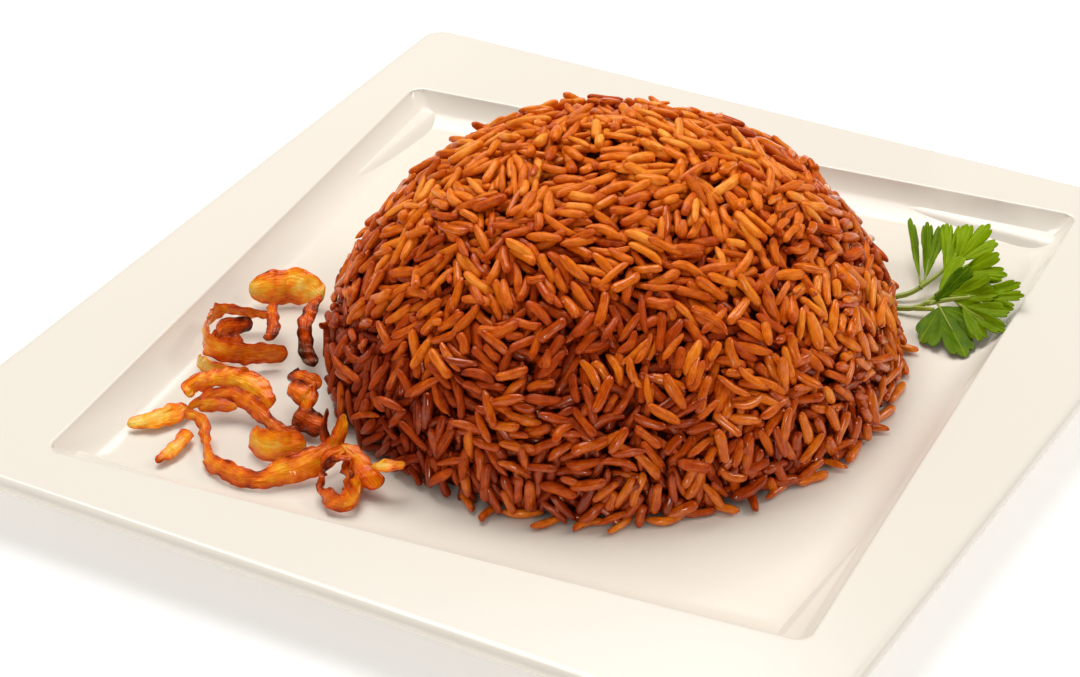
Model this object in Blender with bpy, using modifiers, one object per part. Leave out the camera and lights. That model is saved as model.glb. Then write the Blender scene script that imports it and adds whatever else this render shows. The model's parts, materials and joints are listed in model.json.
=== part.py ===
"""A plate of sayadieh: a moulded dome of brown rice, fried onion strips and a parsley sprig.

Metres, +Z up. The origin is the middle of the square plate's outline, on the table under its foot,
and X and Y run along the plate's straight edges. The onions lie at the dome's -X, -Y side, and the
parsley at its +X, +Y side.
"""

import math
import random
from typing import NamedTuple

import bmesh
import bpy
import numpy as np
from mathutils import Matrix, Vector, noise
from mathutils.geometry import delaunay_2d_cdt

# Plate: ten inches square, in porcelain. Its well is turned a little within the outline.
PLATE_SIDE = 0.250
PLATE_HEIGHT = 0.016
PLATE_CORNER = 0.006
RIM_THICKNESS = 0.0045
WELL_SIDE = 0.200
WELL_DEPTH = 0.007
WELL_CORNER = 0.0035
WELL_TURN = math.radians(5.6)
COVE_ANGLE = math.radians(60)
COVE_STEPS = 5
EDGE_STEPS = 4
CORNER_STEPS = 4
FLOOR_THICKNESS = 0.006
FOOT_SIDE = 0.173
FOOT_WIDTH = 0.004
FOOT_CORNER = 0.010
FOOT_FLARE = 0.012
FOOT_EASE = 0.001
FLOOR = PLATE_HEIGHT - WELL_DEPTH

# Rice: turned out of a bowl, so it keeps the bowl's round form. Heights are shares of the dome's.
DOME_CENTRE = Vector((0.0086, -0.0003, 0))
DOME_RADIUS = 0.0737
DOME_HEIGHT = 0.0637
LUMP_SIZE = 0.022
LUMP_HEIGHT = 0.0012
GRAIN_LENGTH = 0.0096
GRAIN_WIDTH = 0.0029
GRAIN_FLATNESS = 0.9
GRAIN_BUMP = 0.0019
GRAIN_UNEVEN = 0.0005
RIDGE_TRIES = ((1, 9000), (0.75, 5000), (0.45, 5000))
LOWEST_RIDGE = 0.03
MEETING_SPACING = 0.0016
BASE_SIDES = 75
PROUD_GRAINS = 28
PROUD_RISE = (0.14, 0.96)
PROUD_TILT = 0.15
BASE_GRAINS = 34
BASE_SHIFT = 0.3
BASE_SWING = 0.9
CLEAR_OF_FOOD = ((178, 268), (38, 62))

GAP = 0.0003
NEAR = 0.000001
SEED = 7
MM = 0.001

# Onions, as linear colours. A strip's edge is a share of its thickness.
STRIP_EDGE = 0.6
STRIP_STEPS = 2
ORANGE = (0.62, 0.19, 0.03)
AMBER = (0.72, 0.32, 0.06)
STRAW = (0.84, 0.52, 0.17)
RUST = (0.42, 0.10, 0.02)
BURNT = (0.12, 0.03, 0.01)

# Parsley.
STEM_WIDTH = 0.0015
STEM_STEPS = 3
STEM_TAPER = 0.35
MIDRIB_WIDTHS = (0.36, 0.26)
MIDRIB_REACH = 0.9
LEAF_THICKNESS = 0.0006
LEAF_SPREAD = math.radians(112)
LEAF_TEETH = (0.78, 0.97, 1.0, 0.97)
LEAF_LOBES = 3
LEAF_MIDDLE = 0.42
LEAF_NECK = 0.12
LEAF_BACK_SHARE = 0.45
LEAF_BACK_RATE = 0.62
LEAF_WAVE = 0.35
LEAF_WAVE_RATE = 2.5


class Strip(NamedTuple):
    """A fried strip: its section's width, thickness and curl, its roll from lying flat, and its route.

    Sizes are in millimetres and the roll in degrees. A place on the route is (x, y, height over the
    well's floor, share of the width), and a smooth curve runs through them.
    """

    width: float
    thickness: float
    curl: float
    roll: float
    route: tuple
    closed: bool = False


class Leaflet(NamedTuple):
    """A lobed leaf, in millimetres over the floor: its midrib's ends, width, roll in degrees and cup."""

    base: tuple
    tip: tuple
    width: float
    roll: float
    cup: float


ONIONS = {
    "onion_chip_back": (STRAW, [
        Strip(9.5, 1.3, 2, 60, ((-90, -22, 4.3, 0.6), (-85.5, -18.5, 4.7, 1), (-78, -14, 4.6, 1),
              (-70.5, -15, 3.6, 0.5))),
    ]),
    "onion_ring_upper": (ORANGE, [
        Strip(6.4, 1, 0.5, 78, ((-77, -30, 4.8, 0.45), (-83.5, -33, 6.2, 0.5), (-88, -36.5, 7, 0.55),
              (-87, -44, 8, 0.9), (-82.5, -51, 8.5, 0.95), (-77, -52, 7, 1), (-73, -48, 5, 1),
              (-67.5, -44.5, 4.5, 0.85), (-63.8, -42, 4, 0.6))),
        Strip(4.6, 1.2, 0.5, 72, ((-80, -51, 8.5, 0.77), (-81.5, -45.5, 8.2, 1), (-79.5, -42.5, 8, 1),
              (-77, -38.5, 7.5, 0.95))),
        Strip(4.6, 1.1, 0.4, 60, ((-84.5, -46.5, 6, 0.8), (-76, -49, 7, 1), (-75.5, -45.5, 7, 0.9))),
    ]),
    "onion_ribbon_pale": (STRAW, [
        Strip(5.4, 0.9, 0.3, 85, ((-84, -53.6, 3.1, 0.8), (-79, -55.8, 3.1, 1), (-73, -54.8, 2.9, 0.8),
              (-69, -51.8, 2.5, 0.6))),
    ]),
    "onion_strip_across": (RUST, [
        Strip(3.9, 1.1, 0.3, 15, ((-77.5, -28.5, 7.9, 0.8), (-72, -36.5, 7.2, 1), (-69.5, -42, 6, 1))),
    ]),
    "onion_hook_dark": (BURNT, [
        Strip(4.6, 1.5, 0.5, 15, ((-65.5, -23.5, 11, 0.6), (-64.5, -29, 10.5, 0.85),
              (-62.5, -35, 9, 0.85), (-59.5, -39.5, 5.5, 1), (-55, -43, 3, 0.7))),
    ]),
    "onion_bundle": (RUST, [
        Strip(4.8, 1.3, 0.8, 50, ((-54.5, -54.5, 7.6, 0.7), (-48.5, -57, 9.5, 1.05),
              (-43, -56.5, 9, 0.9))),
        Strip(6, 1.4, 1, 48, ((-51, -59, 8.3, 0.75), (-47, -61, 8, 1), (-42, -60.5, 6.7, 0.9))),
        Strip(6.8, 1.4, 1, 45, ((-46, -65, 4.6, 0.8), (-40, -65, 3.7, 0.95), (-36.5, -64.5, 3.3, 0.7))),
        Strip(4.6, 1.2, 0.6, 20, ((-48, -54, 8.5, 0.8), (-45, -59.5, 8.6, 1), (-42.5, -65.5, 5.2, 0.9))),
    ]),
    "onion_curl_broad": (ORANGE, [
        Strip(7, 1.2, 1.6, 45, ((-74, -72, 5, 0.5), (-75, -69, 6.5, 0.58), (-71.5, -66, 7.5, 0.67),
              (-65.5, -63.5, 8, 0.79), (-58, -64, 7.8, 0.96), (-51, -66.5, 6.2, 0.8))),
        Strip(4.8, 1.2, 0.6, 60, ((-72, -74.5, 4, 0.53), (-66, -67.5, 6, 0.82), (-58.5, -67, 5.5, 0.94),
              (-53, -69, 4.8, 0.94), (-47, -71, 3.4, 1), (-40.5, -70.5, 2.8, 0.76))),
        Strip(4, 1, 0.5, 50, ((-70.5, -72.5, 4.5, 0.93), (-66.5, -70.5, 4.6, 1), (-61, -68, 4.2, 0.79))),
    ]),
    "onion_tail_yellow": (STRAW, [
        Strip(5.6, 2, 0.4, 20, ((-83, -85.5, 2, 0.5), (-78.5, -81.5, 2.2, 0.95), (-75.5, -76.5, 2.4, 1),
              (-74, -72, 2.4, 0.6))),
    ]),
    "onion_tail_tipped": (STRAW, [
        Strip(4.2, 1.6, 0.3, 15, ((-67, -95, 1.5, 0.44), (-66.5, -91.5, 1.7, 0.88),
              (-66.5, -85.5, 1.9, 1), (-67.5, -80.5, 2.2, 0.7))),
    ]),
    "onion_loop_front": (AMBER, [
        Strip(7.4, 1.3, 0.9, 55, ((-71.5, -76.5, 4.4, 0.35), (-65, -78, 4.4, 0.46),
              (-60.5, -82.5, 3.2, 0.46), (-56, -88, 2.7, 0.58), (-48.5, -91, 2.8, 0.69),
              (-40, -90.5, 2.6, 0.62), (-35, -86, 3.3, 0.88), (-31, -81.5, 4.3, 1),
              (-28, -75.5, 6, 0.77), (-28, -71, 9, 0.54), (-28.5, -68, 12, 0.27))),
        Strip(2.4, 1.1, 0.2, 60, ((-39.5, -86, 4, 0.88), (-35, -83, 5, 1), (-30.5, -77.5, 7, 0.9))),
    ]),
    "onion_band_front": (AMBER, [
        Strip(8.6, 1.1, 1, 70, ((-51, -76.5, 4.6, 0.6), (-46.5, -79, 4.5, 0.95), (-41, -78.5, 4.6, 1),
              (-36, -74.5, 4.6, 0.7))),
    ]),
    "onion_knot": (RUST, [
        Strip(5.4, 1.6, 0.5, 60, ((-25, -82.5, 6, 0.65), (-24, -85.5, 4, 0.65), (-18.5, -89.5, 3, 0.75),
              (-15, -88.5, 3, 0.85), (-15.5, -84, 4, 1), (-19, -79.5, 5.5, 1),
              (-23, -79.5, 7.5, 0.9)), closed=True),
        Strip(5.8, 1.9, 0.5, 25, ((-25.5, -74.5, 7.5, 0.55), (-21, -75.5, 6.5, 0.73), (-15, -78.5, 5, 1),
              (-11, -80, 3, 0.91))),
        Strip(4.4, 1.6, 0.5, 40, ((-26, -83, 6.5, 0.62), (-25, -80, 8, 1), (-23, -76.5, 8, 0.94))),
        Strip(3.4, 1.4, 0.4, 50, ((-22.5, -78, 5.8, 0.8), (-18.5, -81.5, 5.2, 1),
              (-16.5, -85.5, 4.2, 0.9))),
    ]),
    "onion_strip_yellow": (STRAW, [
        Strip(3.2, 1.7, 0.2, 10, ((-13.5, -79.5, 7.9, 0.8), (-9.5, -77.5, 8.4, 1),
              (-6.5, -75, 8.6, 0.8))),
    ]),
    "onion_strip_dark": (BURNT, [
        Strip(3.4, 1.4, 0.3, 60, ((-36, -64.5, 9.2, 0.75), (-35, -67.5, 6.3, 1),
              (-32.5, -71, 1.8, 0.75))),
    ]),
}

# Each stem's route, in millimetres over the floor: the second and third fork off the one before.
STEMS = (
    ((56, 61, 1.3), (60, 59, 1.3), (66, 63.5, 3.5), (70, 67, 5.8)),
    ((60, 59, 1.3), (63.5, 54.5, 1.3), (69, 56, 2.4), (72, 62.5, 5.4), (72.5, 71, 7.6)),
    ((69, 56, 2.4), (77, 56.5, 5.4), (87.5, 57.5, 8)),
)

LEAFLETS = (
    Leaflet((65.5, 63.5, 3.5), (53.5, 85, 9), 3, 20, 0.6),
    Leaflet((66, 64, 3.7), (60, 83.5, 10), 7, 12, 1),
    Leaflet((70, 67, 5.8), (65, 84.5, 11), 8.5, 5, 1.2),
    Leaflet((72.5, 71, 7.5), (79, 83, 11.5), 15, 12, 1.4),
    Leaflet((70.5, 59.5, 3.8), (79, 67, 8.2), 9.5, 30, 1.4),
    Leaflet((72.5, 63.5, 5.7), (89, 65.5, 10), 17, 22, 1.2),
    Leaflet((87, 57.5, 7.9), (97, 60.5, 9.5), 10, 12, 0.8),
    Leaflet((80.5, 57, 5.8), (94.5, 47, 8.1), 11.5, 24, 0.6),
    Leaflet((74.5, 55, 4.5), (89, 39, 3), 14, 4, -1),
)


def clear_scene():
    """Removes every object that the scene starts with."""
    for thing in list(bpy.data.objects):
        bpy.data.objects.remove(thing)


def new_collection(name):
    """An empty collection in the scene."""
    made = bpy.data.collections.new(name)
    bpy.context.scene.collection.children.link(made)
    return made


def material(name, colour, roughness):
    """A Principled material of one colour, which isn't metal."""
    made = bpy.data.materials.new(name)
    made.use_nodes = True
    shader = made.node_tree.nodes["Principled BSDF"]
    shader.inputs["Base Color"].default_value = (*colour, 1)
    shader.inputs["Roughness"].default_value = roughness
    shader.inputs["Metallic"].default_value = 0.0
    return made


def mesh_object(name, mesh, collection):
    """An object of a mesh, in a collection."""
    made = bpy.data.objects.new(name, mesh)
    collection.objects.link(made)
    return made


def from_bmesh(name, shape, collection):
    """An object of a bmesh, which is freed."""
    mesh = bpy.data.meshes.new(name)
    shape.to_mesh(mesh)
    shape.free()
    return mesh_object(name, mesh, collection)


def finished(thing, finish, sharp_angle=40):
    """Gives an object its material and its smooth shading."""
    thing.data.materials.clear()
    thing.data.materials.append(finish)
    thing.data.shade_smooth()
    thing.data.set_sharp_from_angle(angle=math.radians(sharp_angle))


def made_mesh(thing, name, collection, weld=0.00001):
    """The object as the viewport shows it, made a plain mesh object with its seams welded."""
    graph = bpy.context.evaluated_depsgraph_get()
    mesh = bpy.data.meshes.new_from_object(thing.evaluated_get(graph))
    made = mesh_object(name, mesh, collection)
    made.matrix_world = thing.matrix_world
    shape = bmesh.new()
    shape.from_mesh(mesh)
    bmesh.ops.remove_doubles(shape, verts=shape.verts, dist=weld)
    bmesh.ops.recalc_face_normals(shape, faces=shape.faces)
    shape.to_mesh(mesh)
    shape.free()
    bpy.data.objects.remove(thing)
    return made


def islands(shape):
    """The connected groups of a bmesh's faces, the group with the most faces first."""
    left = set(shape.faces)
    groups = []
    while left:
        front = [left.pop()]
        group = list(front)
        while front:
            near = {face for edge in front.pop().edges for face in edge.link_faces} & left
            left -= near
            front.extend(near)
            group.extend(near)
        groups.append(group)
    return sorted(groups, key=len, reverse=True)


def fused(name, pieces, collection):
    """One body of pieces that cross: a Boolean union, without loose scraps or sealed hollows."""
    body, others = pieces[0], pieces[1:]
    if others:
        joined = new_collection(name + "_joined")
        for other in others:
            collection.objects.unlink(other)
            joined.objects.link(other)
        union = body.modifiers.new("union", "BOOLEAN")
        union.operation = "UNION"
        union.solver = "EXACT"
        union.operand_type = "COLLECTION"
        union.collection = joined
    made = made_mesh(body, name, collection)
    for other in others:
        bpy.data.objects.remove(other)
    if others:
        bpy.data.collections.remove(joined)
    shape = bmesh.new()
    shape.from_mesh(made.data)
    for group in islands(shape)[1:]:
        bmesh.ops.delete(shape, geom=group, context="FACES")
    shape.to_mesh(made.data)
    shape.free()
    made.name = name
    return made


# Plate.


def rounded_square(side, corner, turn, height):
    """The points of a level square with round corners, counter-clockwise from above."""
    points = []
    reach = side / 2 - corner
    for quarter in range(4):
        middle = Matrix.Rotation(quarter * math.pi / 2, 2) @ Vector((reach, reach))
        for step in range(CORNER_STEPS + 1):
            angle = (quarter + step / CORNER_STEPS) * math.pi / 2
            flat = middle + corner * Vector((math.cos(angle), math.sin(angle)))
            flat.rotate(Matrix.Rotation(turn, 2))
            points.append(Vector((flat.x, flat.y, height)))
    return points


def plate_rings():
    """Level rings from the well's floor, out over the rim, round its edge and under to the foot."""
    cove_radius = WELL_DEPTH / (1 - math.cos(COVE_ANGLE))
    cove_width = cove_radius * math.sin(COVE_ANGLE)
    rings = []
    for step in range(COVE_STEPS + 1):
        angle = COVE_ANGLE * step / COVE_STEPS
        inset = cove_width - cove_radius * math.sin(angle)
        height = FLOOR + cove_radius * (1 - math.cos(angle))
        rings.append(rounded_square(WELL_SIDE - 2 * inset, WELL_CORNER, WELL_TURN, height))
    edge = RIM_THICKNESS / 2
    for step in range(EDGE_STEPS + 1):
        angle = math.pi * step / EDGE_STEPS
        inset = edge * (1 - math.sin(angle))
        height = PLATE_HEIGHT - edge * (1 - math.cos(angle))
        rings.append(rounded_square(PLATE_SIDE - 2 * inset, PLATE_CORNER, 0, height))
    under_rim = PLATE_HEIGHT - RIM_THICKNESS
    under_floor = FLOOR - FLOOR_THICKNESS
    inner_foot = FOOT_SIDE - 2 * FOOT_WIDTH
    for side, height in (
        (WELL_SIDE, under_rim - FOOT_EASE),
        (FOOT_SIDE + FOOT_FLARE, under_floor + 2 * FOOT_EASE),
        (FOOT_SIDE + FOOT_EASE, FOOT_EASE),
        (FOOT_SIDE, 0),
        (inner_foot, 0),
        (inner_foot - 2 * FOOT_EASE, under_floor),
    ):
        rings.append(rounded_square(side, FOOT_CORNER, 0, height))
    return rings


def build_plate(collection):
    """The plate, lofted through its rings and closed over the floor and under it."""
    shape = bmesh.new()
    loops = [[shape.verts.new(point) for point in ring] for ring in plate_rings()]
    for inner, outer in zip(loops, loops[1:]):
        for i, corner in enumerate(inner):
            following = (i + 1) % len(inner)
            shape.faces.new((corner, outer[i], outer[following], inner[following]))
    shape.faces.new(loops[0])
    shape.faces.new(reversed(loops[-1]))
    return from_bmesh("plate", shape, collection)


# Rice.


def on_dome(direction, height):
    """The point of the rice's outside in a direction, at a height above its smooth lumpy form."""
    reach = Vector((direction.x * DOME_RADIUS, direction.y * DOME_RADIUS, direction.z * DOME_HEIGHT))
    outward = Vector((reach.x / DOME_RADIUS**2, reach.y / DOME_RADIUS**2, reach.z / DOME_HEIGHT**2))
    lump = LUMP_HEIGHT * noise.noise(reach / LUMP_SIZE)
    point = reach + outward.normalized() * (height + lump)
    return DOME_CENTRE + Vector((point.x, point.y, FLOOR + GAP + max(point.z, 0)))


def ridge_samples(middle, heading, half_length, count=5):
    """Directions along a grain's ridge, which lies on the dome about a middle direction."""
    side = middle.orthogonal().normalized()
    along = Matrix.Rotation(heading, 3, middle) @ side
    spread = half_length / DOME_RADIUS
    return [(middle + along * spread * (2 * i / (count - 1) - 1)).normalized() for i in range(count)]


def scatter_grains(draw):
    """Ridges of grains all over the dome, the long ones first, each clear of the others."""
    spacing = GRAIN_WIDTH / DOME_RADIUS
    ridges = []
    taken = np.empty((0, 3))
    ridge = (GRAIN_LENGTH - GRAIN_WIDTH) / 2
    for share, tries in RIDGE_TRIES:
        half_length = ridge * share
        for _ in range(tries):
            turn = draw.uniform(0, 2 * math.pi)
            rise = draw.uniform(2 * LOWEST_RIDGE, 1)
            ring = math.sqrt(1 - rise * rise)
            middle = Vector((ring * math.cos(turn), ring * math.sin(turn), rise))
            samples = ridge_samples(middle, draw.uniform(0, math.pi), half_length)
            if min(sample.z for sample in samples) < LOWEST_RIDGE:
                continue
            here = np.array(samples)
            if len(taken) and ((taken[:, None] - here) ** 2).sum(2).min() < spacing**2:
                continue
            taken = np.concatenate([taken, here])
            ridges.append(samples)
    return ridges


def flattened(direction):
    """A direction's place on the level plane, which keeps angles true."""
    return Vector((direction.x, direction.y)) / (1 + direction.z)


def raised(flat):
    """The direction of a place on the level plane."""
    reach = flat.length_squared
    return Vector((2 * flat.x, 2 * flat.y, 1 - reach)) / (1 + reach)


def across_edges(triangles):
    """For each edge, the triangles on its two sides."""
    sides = {}
    for triangle in triangles:
        for i in range(3):
            sides.setdefault(frozenset((triangle[i], triangle[i - 1])), []).append(triangle)
    return sides


def next_meeting(triangle, edge, sides, owner):
    """The next triangle that joins three grains, along the groove that leaves one through an edge."""
    grains = {owner[corner] for corner in edge}
    while True:
        beyond = [other for other in sides[edge] if other is not triangle]
        if not beyond:
            return None
        triangle = beyond[0]
        if len({owner[corner] for corner in triangle}) == 3:
            return triangle
        tip = next(corner for corner in triangle if corner not in edge)
        edge = next(frozenset((tip, corner)) for corner in edge if owner[corner] != owner[tip])
        if {owner[corner] for corner in edge} != grains:
            return None


def grooves(ridges, base):
    """Where the grains meet: the directions of the meeting points, and pairs that a groove joins."""
    directions = [sample for ridge in ridges for sample in ridge] + base
    owner = [number for number, ridge in enumerate(ridges) for _ in ridge] + [-1] * len(base)
    flat = [flattened(direction) for direction in directions]
    _, _, faces, origins, _, _ = delaunay_2d_cdt(flat, [], [], 0, NEAR)
    triangles = [tuple(origins[corner][0] for corner in face) for face in faces]
    sides = across_edges(triangles)
    meetings = [each for each in triangles if len({owner[corner] for corner in each}) == 3]
    meetings = [each for each in meetings if -1 not in {owner[corner] for corner in each}]
    points = []
    place = {}
    for triangle in meetings:
        middle = sum((directions[corner] for corner in triangle), Vector()).normalized()
        apart = MEETING_SPACING / DOME_RADIUS
        close = [number for number, other in enumerate(points) if (middle - other).length < apart]
        if not close:
            points.append(middle)
        place[triangle] = close[0] if close else len(points) - 1
    joined = set()
    for triangle in meetings:
        for i in range(3):
            edge = frozenset((triangle[i], triangle[i - 1]))
            other = place.get(next_meeting(triangle, edge, sides, owner))
            if other is not None and other != place[triangle]:
                joined.add(tuple(sorted((place[triangle], other))))
    return points, sorted(joined)


def rice_core(ridges, draw, collection):
    """The dome, its skin raised along every grain's ridge and sunk between the grains."""
    turns = [2 * math.pi * i / BASE_SIDES for i in range(BASE_SIDES)]
    base = [Vector((math.cos(turn), math.sin(turn), 0)) for turn in turns]
    hollows, joined = grooves(ridges, base)
    ends = [end for ridge in ridges for end in (ridge[0], ridge[-1])]
    edges = [(2 * i, 2 * i + 1) for i in range(len(ridges))]
    edges += [(len(ends) + one, len(ends) + other) for one, other in joined]
    flat = [flattened(direction) for direction in ends + hollows + base]
    flat, _, faces, origins, _, _ = delaunay_2d_cdt(flat, edges, [], 0, NEAR)
    shape = bmesh.new()
    corners = []
    foot = []
    for place, origin in zip(flat, origins):
        height = draw.uniform(-GRAIN_UNEVEN, GRAIN_UNEVEN)
        if not origin or min(origin) >= len(ends):
            height = height / 3 - GRAIN_BUMP
        corners.append(shape.verts.new(on_dome(raised(place), height)))
        if origin and min(origin) >= len(ends) + len(hollows):
            foot.append(corners[-1])
    for face in faces:
        shape.faces.new([corners[number] for number in face])
    foot.sort(key=lambda corner: math.atan2(corner.co.y - DOME_CENTRE.y, corner.co.x - DOME_CENTRE.x))
    shape.faces.new(reversed(foot))
    bmesh.ops.recalc_face_normals(shape, faces=shape.faces)
    return from_bmesh("rice_core", shape, collection)


def grain(middle, along, up, collection):
    """One whole grain about a point, its length and its flat side along two directions."""
    across = up.cross(along).normalized()
    lift = along.cross(across).normalized()
    axes = Matrix((across, lift, along.normalized())).transposed().to_4x4()
    size = Matrix.Diagonal((GRAIN_WIDTH / 2, GRAIN_WIDTH * GRAIN_FLATNESS / 2, GRAIN_LENGTH / 2, 1))
    shape = bmesh.new()
    place = Matrix.Translation(middle) @ axes @ size
    bmesh.ops.create_uvsphere(shape, u_segments=5, v_segments=4, radius=1, matrix=place)
    return from_bmesh("grain", shape, collection)


def proud_grains(draw, collection):
    """Whole grains that stand out of the skin, spread evenly by the golden angle."""
    made = []
    low, high = PROUD_RISE
    for number in range(PROUD_GRAINS):
        rise = low + (high - low) * (number + 0.5) / PROUD_GRAINS
        turn = number * math.pi * (3 - math.sqrt(5))
        ring = math.sqrt(1 - rise * rise)
        direction = Vector((ring * math.cos(turn), ring * math.sin(turn), rise))
        side = direction.orthogonal().normalized()
        along = Matrix.Rotation(draw.uniform(0, math.pi), 3, direction) @ side
        along = (along + direction * draw.uniform(-PROUD_TILT, PROUD_TILT)).normalized()
        made.append(grain(on_dome(direction, 0), along, direction, collection))
    return made


def base_grains(draw, collection):
    """Whole grains that lie round the dome's foot, apart from where other food is close."""
    made = []
    for number in range(BASE_GRAINS):
        degrees = 360 * (number + draw.uniform(-BASE_SHIFT, BASE_SHIFT)) / BASE_GRAINS % 360
        swing = draw.uniform(-BASE_SWING, BASE_SWING)
        if any(low < degrees < high for low, high in CLEAR_OF_FOOD):
            continue
        outward = Vector((math.cos(math.radians(degrees)), math.sin(math.radians(degrees)), 0))
        along = Matrix.Rotation(math.pi / 2 + swing, 3, "Z") @ outward
        middle = DOME_CENTRE + outward * DOME_RADIUS
        middle.z = FLOOR + GAP + GRAIN_WIDTH * GRAIN_FLATNESS / 2
        made.append(grain(middle, along, Vector((0, 0, 1)), collection))
    return made


def build_rice(collection):
    """The dome of rice: a core with a bump for every grain, and whole grains fused on."""
    draw = random.Random(SEED)
    core = rice_core(scatter_grains(draw), draw, collection)
    pieces = [core, *proud_grains(draw, collection), *base_grains(draw, collection)]
    return fused("rice_dome", pieces, collection)


# Onions.


def over_floor(x, y, height):
    """The point over the well's floor for places in millimetres."""
    return Vector((x * MM, y * MM, FLOOR + height * MM))


def section_curve(strip, collection):
    """A strip's section: a thin curled band, thinner at its edges, as a flat closed curve."""
    half, thin, curl = strip.width * MM / 2, strip.thickness * MM / 2, strip.curl * MM
    edge = thin * STRIP_EDGE
    outline = [(-half, -edge), (0, curl - thin), (half, -edge), (half, edge), (0, curl + thin), (-half, edge)]
    data = bpy.data.curves.new("section", "CURVE")
    spline = data.splines.new("POLY")
    spline.points.add(len(outline) - 1)
    for point, (x, y) in zip(spline.points, outline):
        point.co = (x, y, 0, 1)
    spline.use_cyclic_u = True
    made = bpy.data.objects.new("section", data)
    made.hide_render = True
    made.display_type = "WIRE"
    collection.objects.link(made)
    return made


def build_strip(strip, collection):
    """One fried strip: its section swept along a smooth curve through its route."""
    section = section_curve(strip, collection)
    data = bpy.data.curves.new("strip", "CURVE")
    data.dimensions = "3D"
    data.twist_mode = "Z_UP"
    data.resolution_u = STRIP_STEPS
    data.bevel_mode = "OBJECT"
    data.bevel_object = section
    data.use_fill_caps = True
    spline = data.splines.new("BEZIER")
    spline.use_cyclic_u = strip.closed
    spline.bezier_points.add(len(strip.route) - 1)
    for point, (x, y, height, share) in zip(spline.bezier_points, strip.route):
        point.co = over_floor(x, y, height)
        point.handle_left_type = point.handle_right_type = "AUTO"
        point.tilt = math.radians(strip.roll)
        point.radius = share
    made = made_mesh(mesh_object("strip", data, collection), "strip", collection)
    bpy.data.objects.remove(section)
    return made


def build_onions(collection):
    """Every fried onion piece, each fused of the strips that it is folded from."""
    for name, (colour, strips) in ONIONS.items():
        pieces = [build_strip(strip, collection) for strip in strips]
        finished(fused(name, pieces, collection), material(name, colour, 0.35))


# Parsley.


def build_stem(points, collection):
    """A round stem through its points."""
    data = bpy.data.curves.new("stem", "CURVE")
    data.dimensions = "3D"
    data.resolution_u = STEM_STEPS
    data.bevel_depth = STEM_WIDTH / 2
    data.bevel_resolution = 1
    data.use_fill_caps = True
    spline = data.splines.new("BEZIER")
    spline.bezier_points.add(len(points) - 1)
    for number, (point, place) in enumerate(zip(spline.bezier_points, points)):
        point.co = over_floor(*place)
        point.handle_left_type = point.handle_right_type = "AUTO"
        point.radius = 1 - STEM_TAPER * number / len(points)
    return made_mesh(mesh_object("stem", data, collection), "stem", collection)


def leaf_outline():
    """A leaf's edge from one side of its base to the other, as (angle, share of its length)."""
    teeth = LEAF_TEETH * LEAF_LOBES + LEAF_TEETH[:1]
    edge = []
    for number, tooth in enumerate(teeth):
        angle = LEAF_SPREAD * (2 * number / (len(teeth) - 1) - 1)
        reach = LEAF_BACK_SHARE + (1 - LEAF_BACK_SHARE) * math.cos(angle * LEAF_BACK_RATE)
        edge.append((angle, tooth * reach))
    return edge


def build_leaflet(leaflet, collection):
    """A thin lobed leaf, fanned round its middle, cupped and a little wavy."""
    base = over_floor(*leaflet.base)
    forward = over_floor(*leaflet.tip) - base
    length = forward.length
    forward.normalize()
    level = forward.cross(Vector((0, 0, 1))).normalized()
    side = Matrix.Rotation(math.radians(leaflet.roll), 3, forward) @ level
    up = side.cross(forward)
    shape = bmesh.new()
    middle = shape.verts.new(base + forward * length * LEAF_MIDDLE)
    edge = [shape.verts.new(base)]
    widest = max(share * math.sin(angle) for angle, share in leaf_outline())
    for number, (angle, share) in enumerate(leaf_outline()):
        across = leaflet.width * MM / 2 * share * math.sin(angle) / widest
        along = length * (LEAF_NECK + (1 - LEAF_NECK) * share * math.cos(angle))
        wave = leaflet.cup * MM * (share + LEAF_WAVE * math.sin(LEAF_WAVE_RATE * number))
        edge.append(shape.verts.new(base + side * across + forward * along + up * wave))
    for number, corner in enumerate(edge):
        shape.faces.new((middle, corner, edge[(number + 1) % len(edge)]))
    bmesh.ops.recalc_face_normals(shape, faces=shape.faces)
    made = from_bmesh("leaflet", shape, collection)
    thick = made.modifiers.new("thickness", "SOLIDIFY")
    thick.thickness = LEAF_THICKNESS
    thick.offset = 0
    return made_mesh(made, "leaflet", collection)


def build_midrib(leaflet, collection):
    """The straight rib that carries a leaf, from just behind its base to its middle."""
    base = over_floor(*leaflet.base)
    reach = over_floor(*leaflet.tip) - base
    shape = bmesh.new()
    start = base - reach.normalized() * STEM_WIDTH
    end = base + reach * LEAF_MIDDLE * MIDRIB_REACH
    turn = reach.to_track_quat("Z", "Y").to_matrix().to_4x4()
    place = Matrix.Translation((start + end) / 2) @ turn
    depth = (end - start).length
    wide, narrow = (STEM_WIDTH * share for share in MIDRIB_WIDTHS)
    bmesh.ops.create_cone(
        shape, cap_ends=True, segments=4, radius1=wide, radius2=narrow, depth=depth, matrix=place
    )
    return from_bmesh("midrib", shape, collection)


def build_parsley(collection):
    """The sprig: forked stems with a leaflet at each end."""
    pieces = [build_stem(points, collection) for points in STEMS]
    pieces += [build_midrib(leaflet, collection) for leaflet in LEAFLETS]
    pieces += [build_leaflet(leaflet, collection) for leaflet in LEAFLETS]
    return fused("parsley_sprig", pieces, collection)


def main():
    """Builds the plate and the food on it."""
    clear_scene()
    collection = new_collection("plate_of_sayadieh")
    finished(build_plate(collection), material("porcelain", (0.86, 0.83, 0.76), 0.12), 35)
    finished(build_rice(collection), material("brown_rice", (0.45, 0.14, 0.04), 0.4), 75)
    build_onions(collection)
    finished(build_parsley(collection), material("parsley", (0.10, 0.28, 0.03), 0.45))


main()
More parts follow.
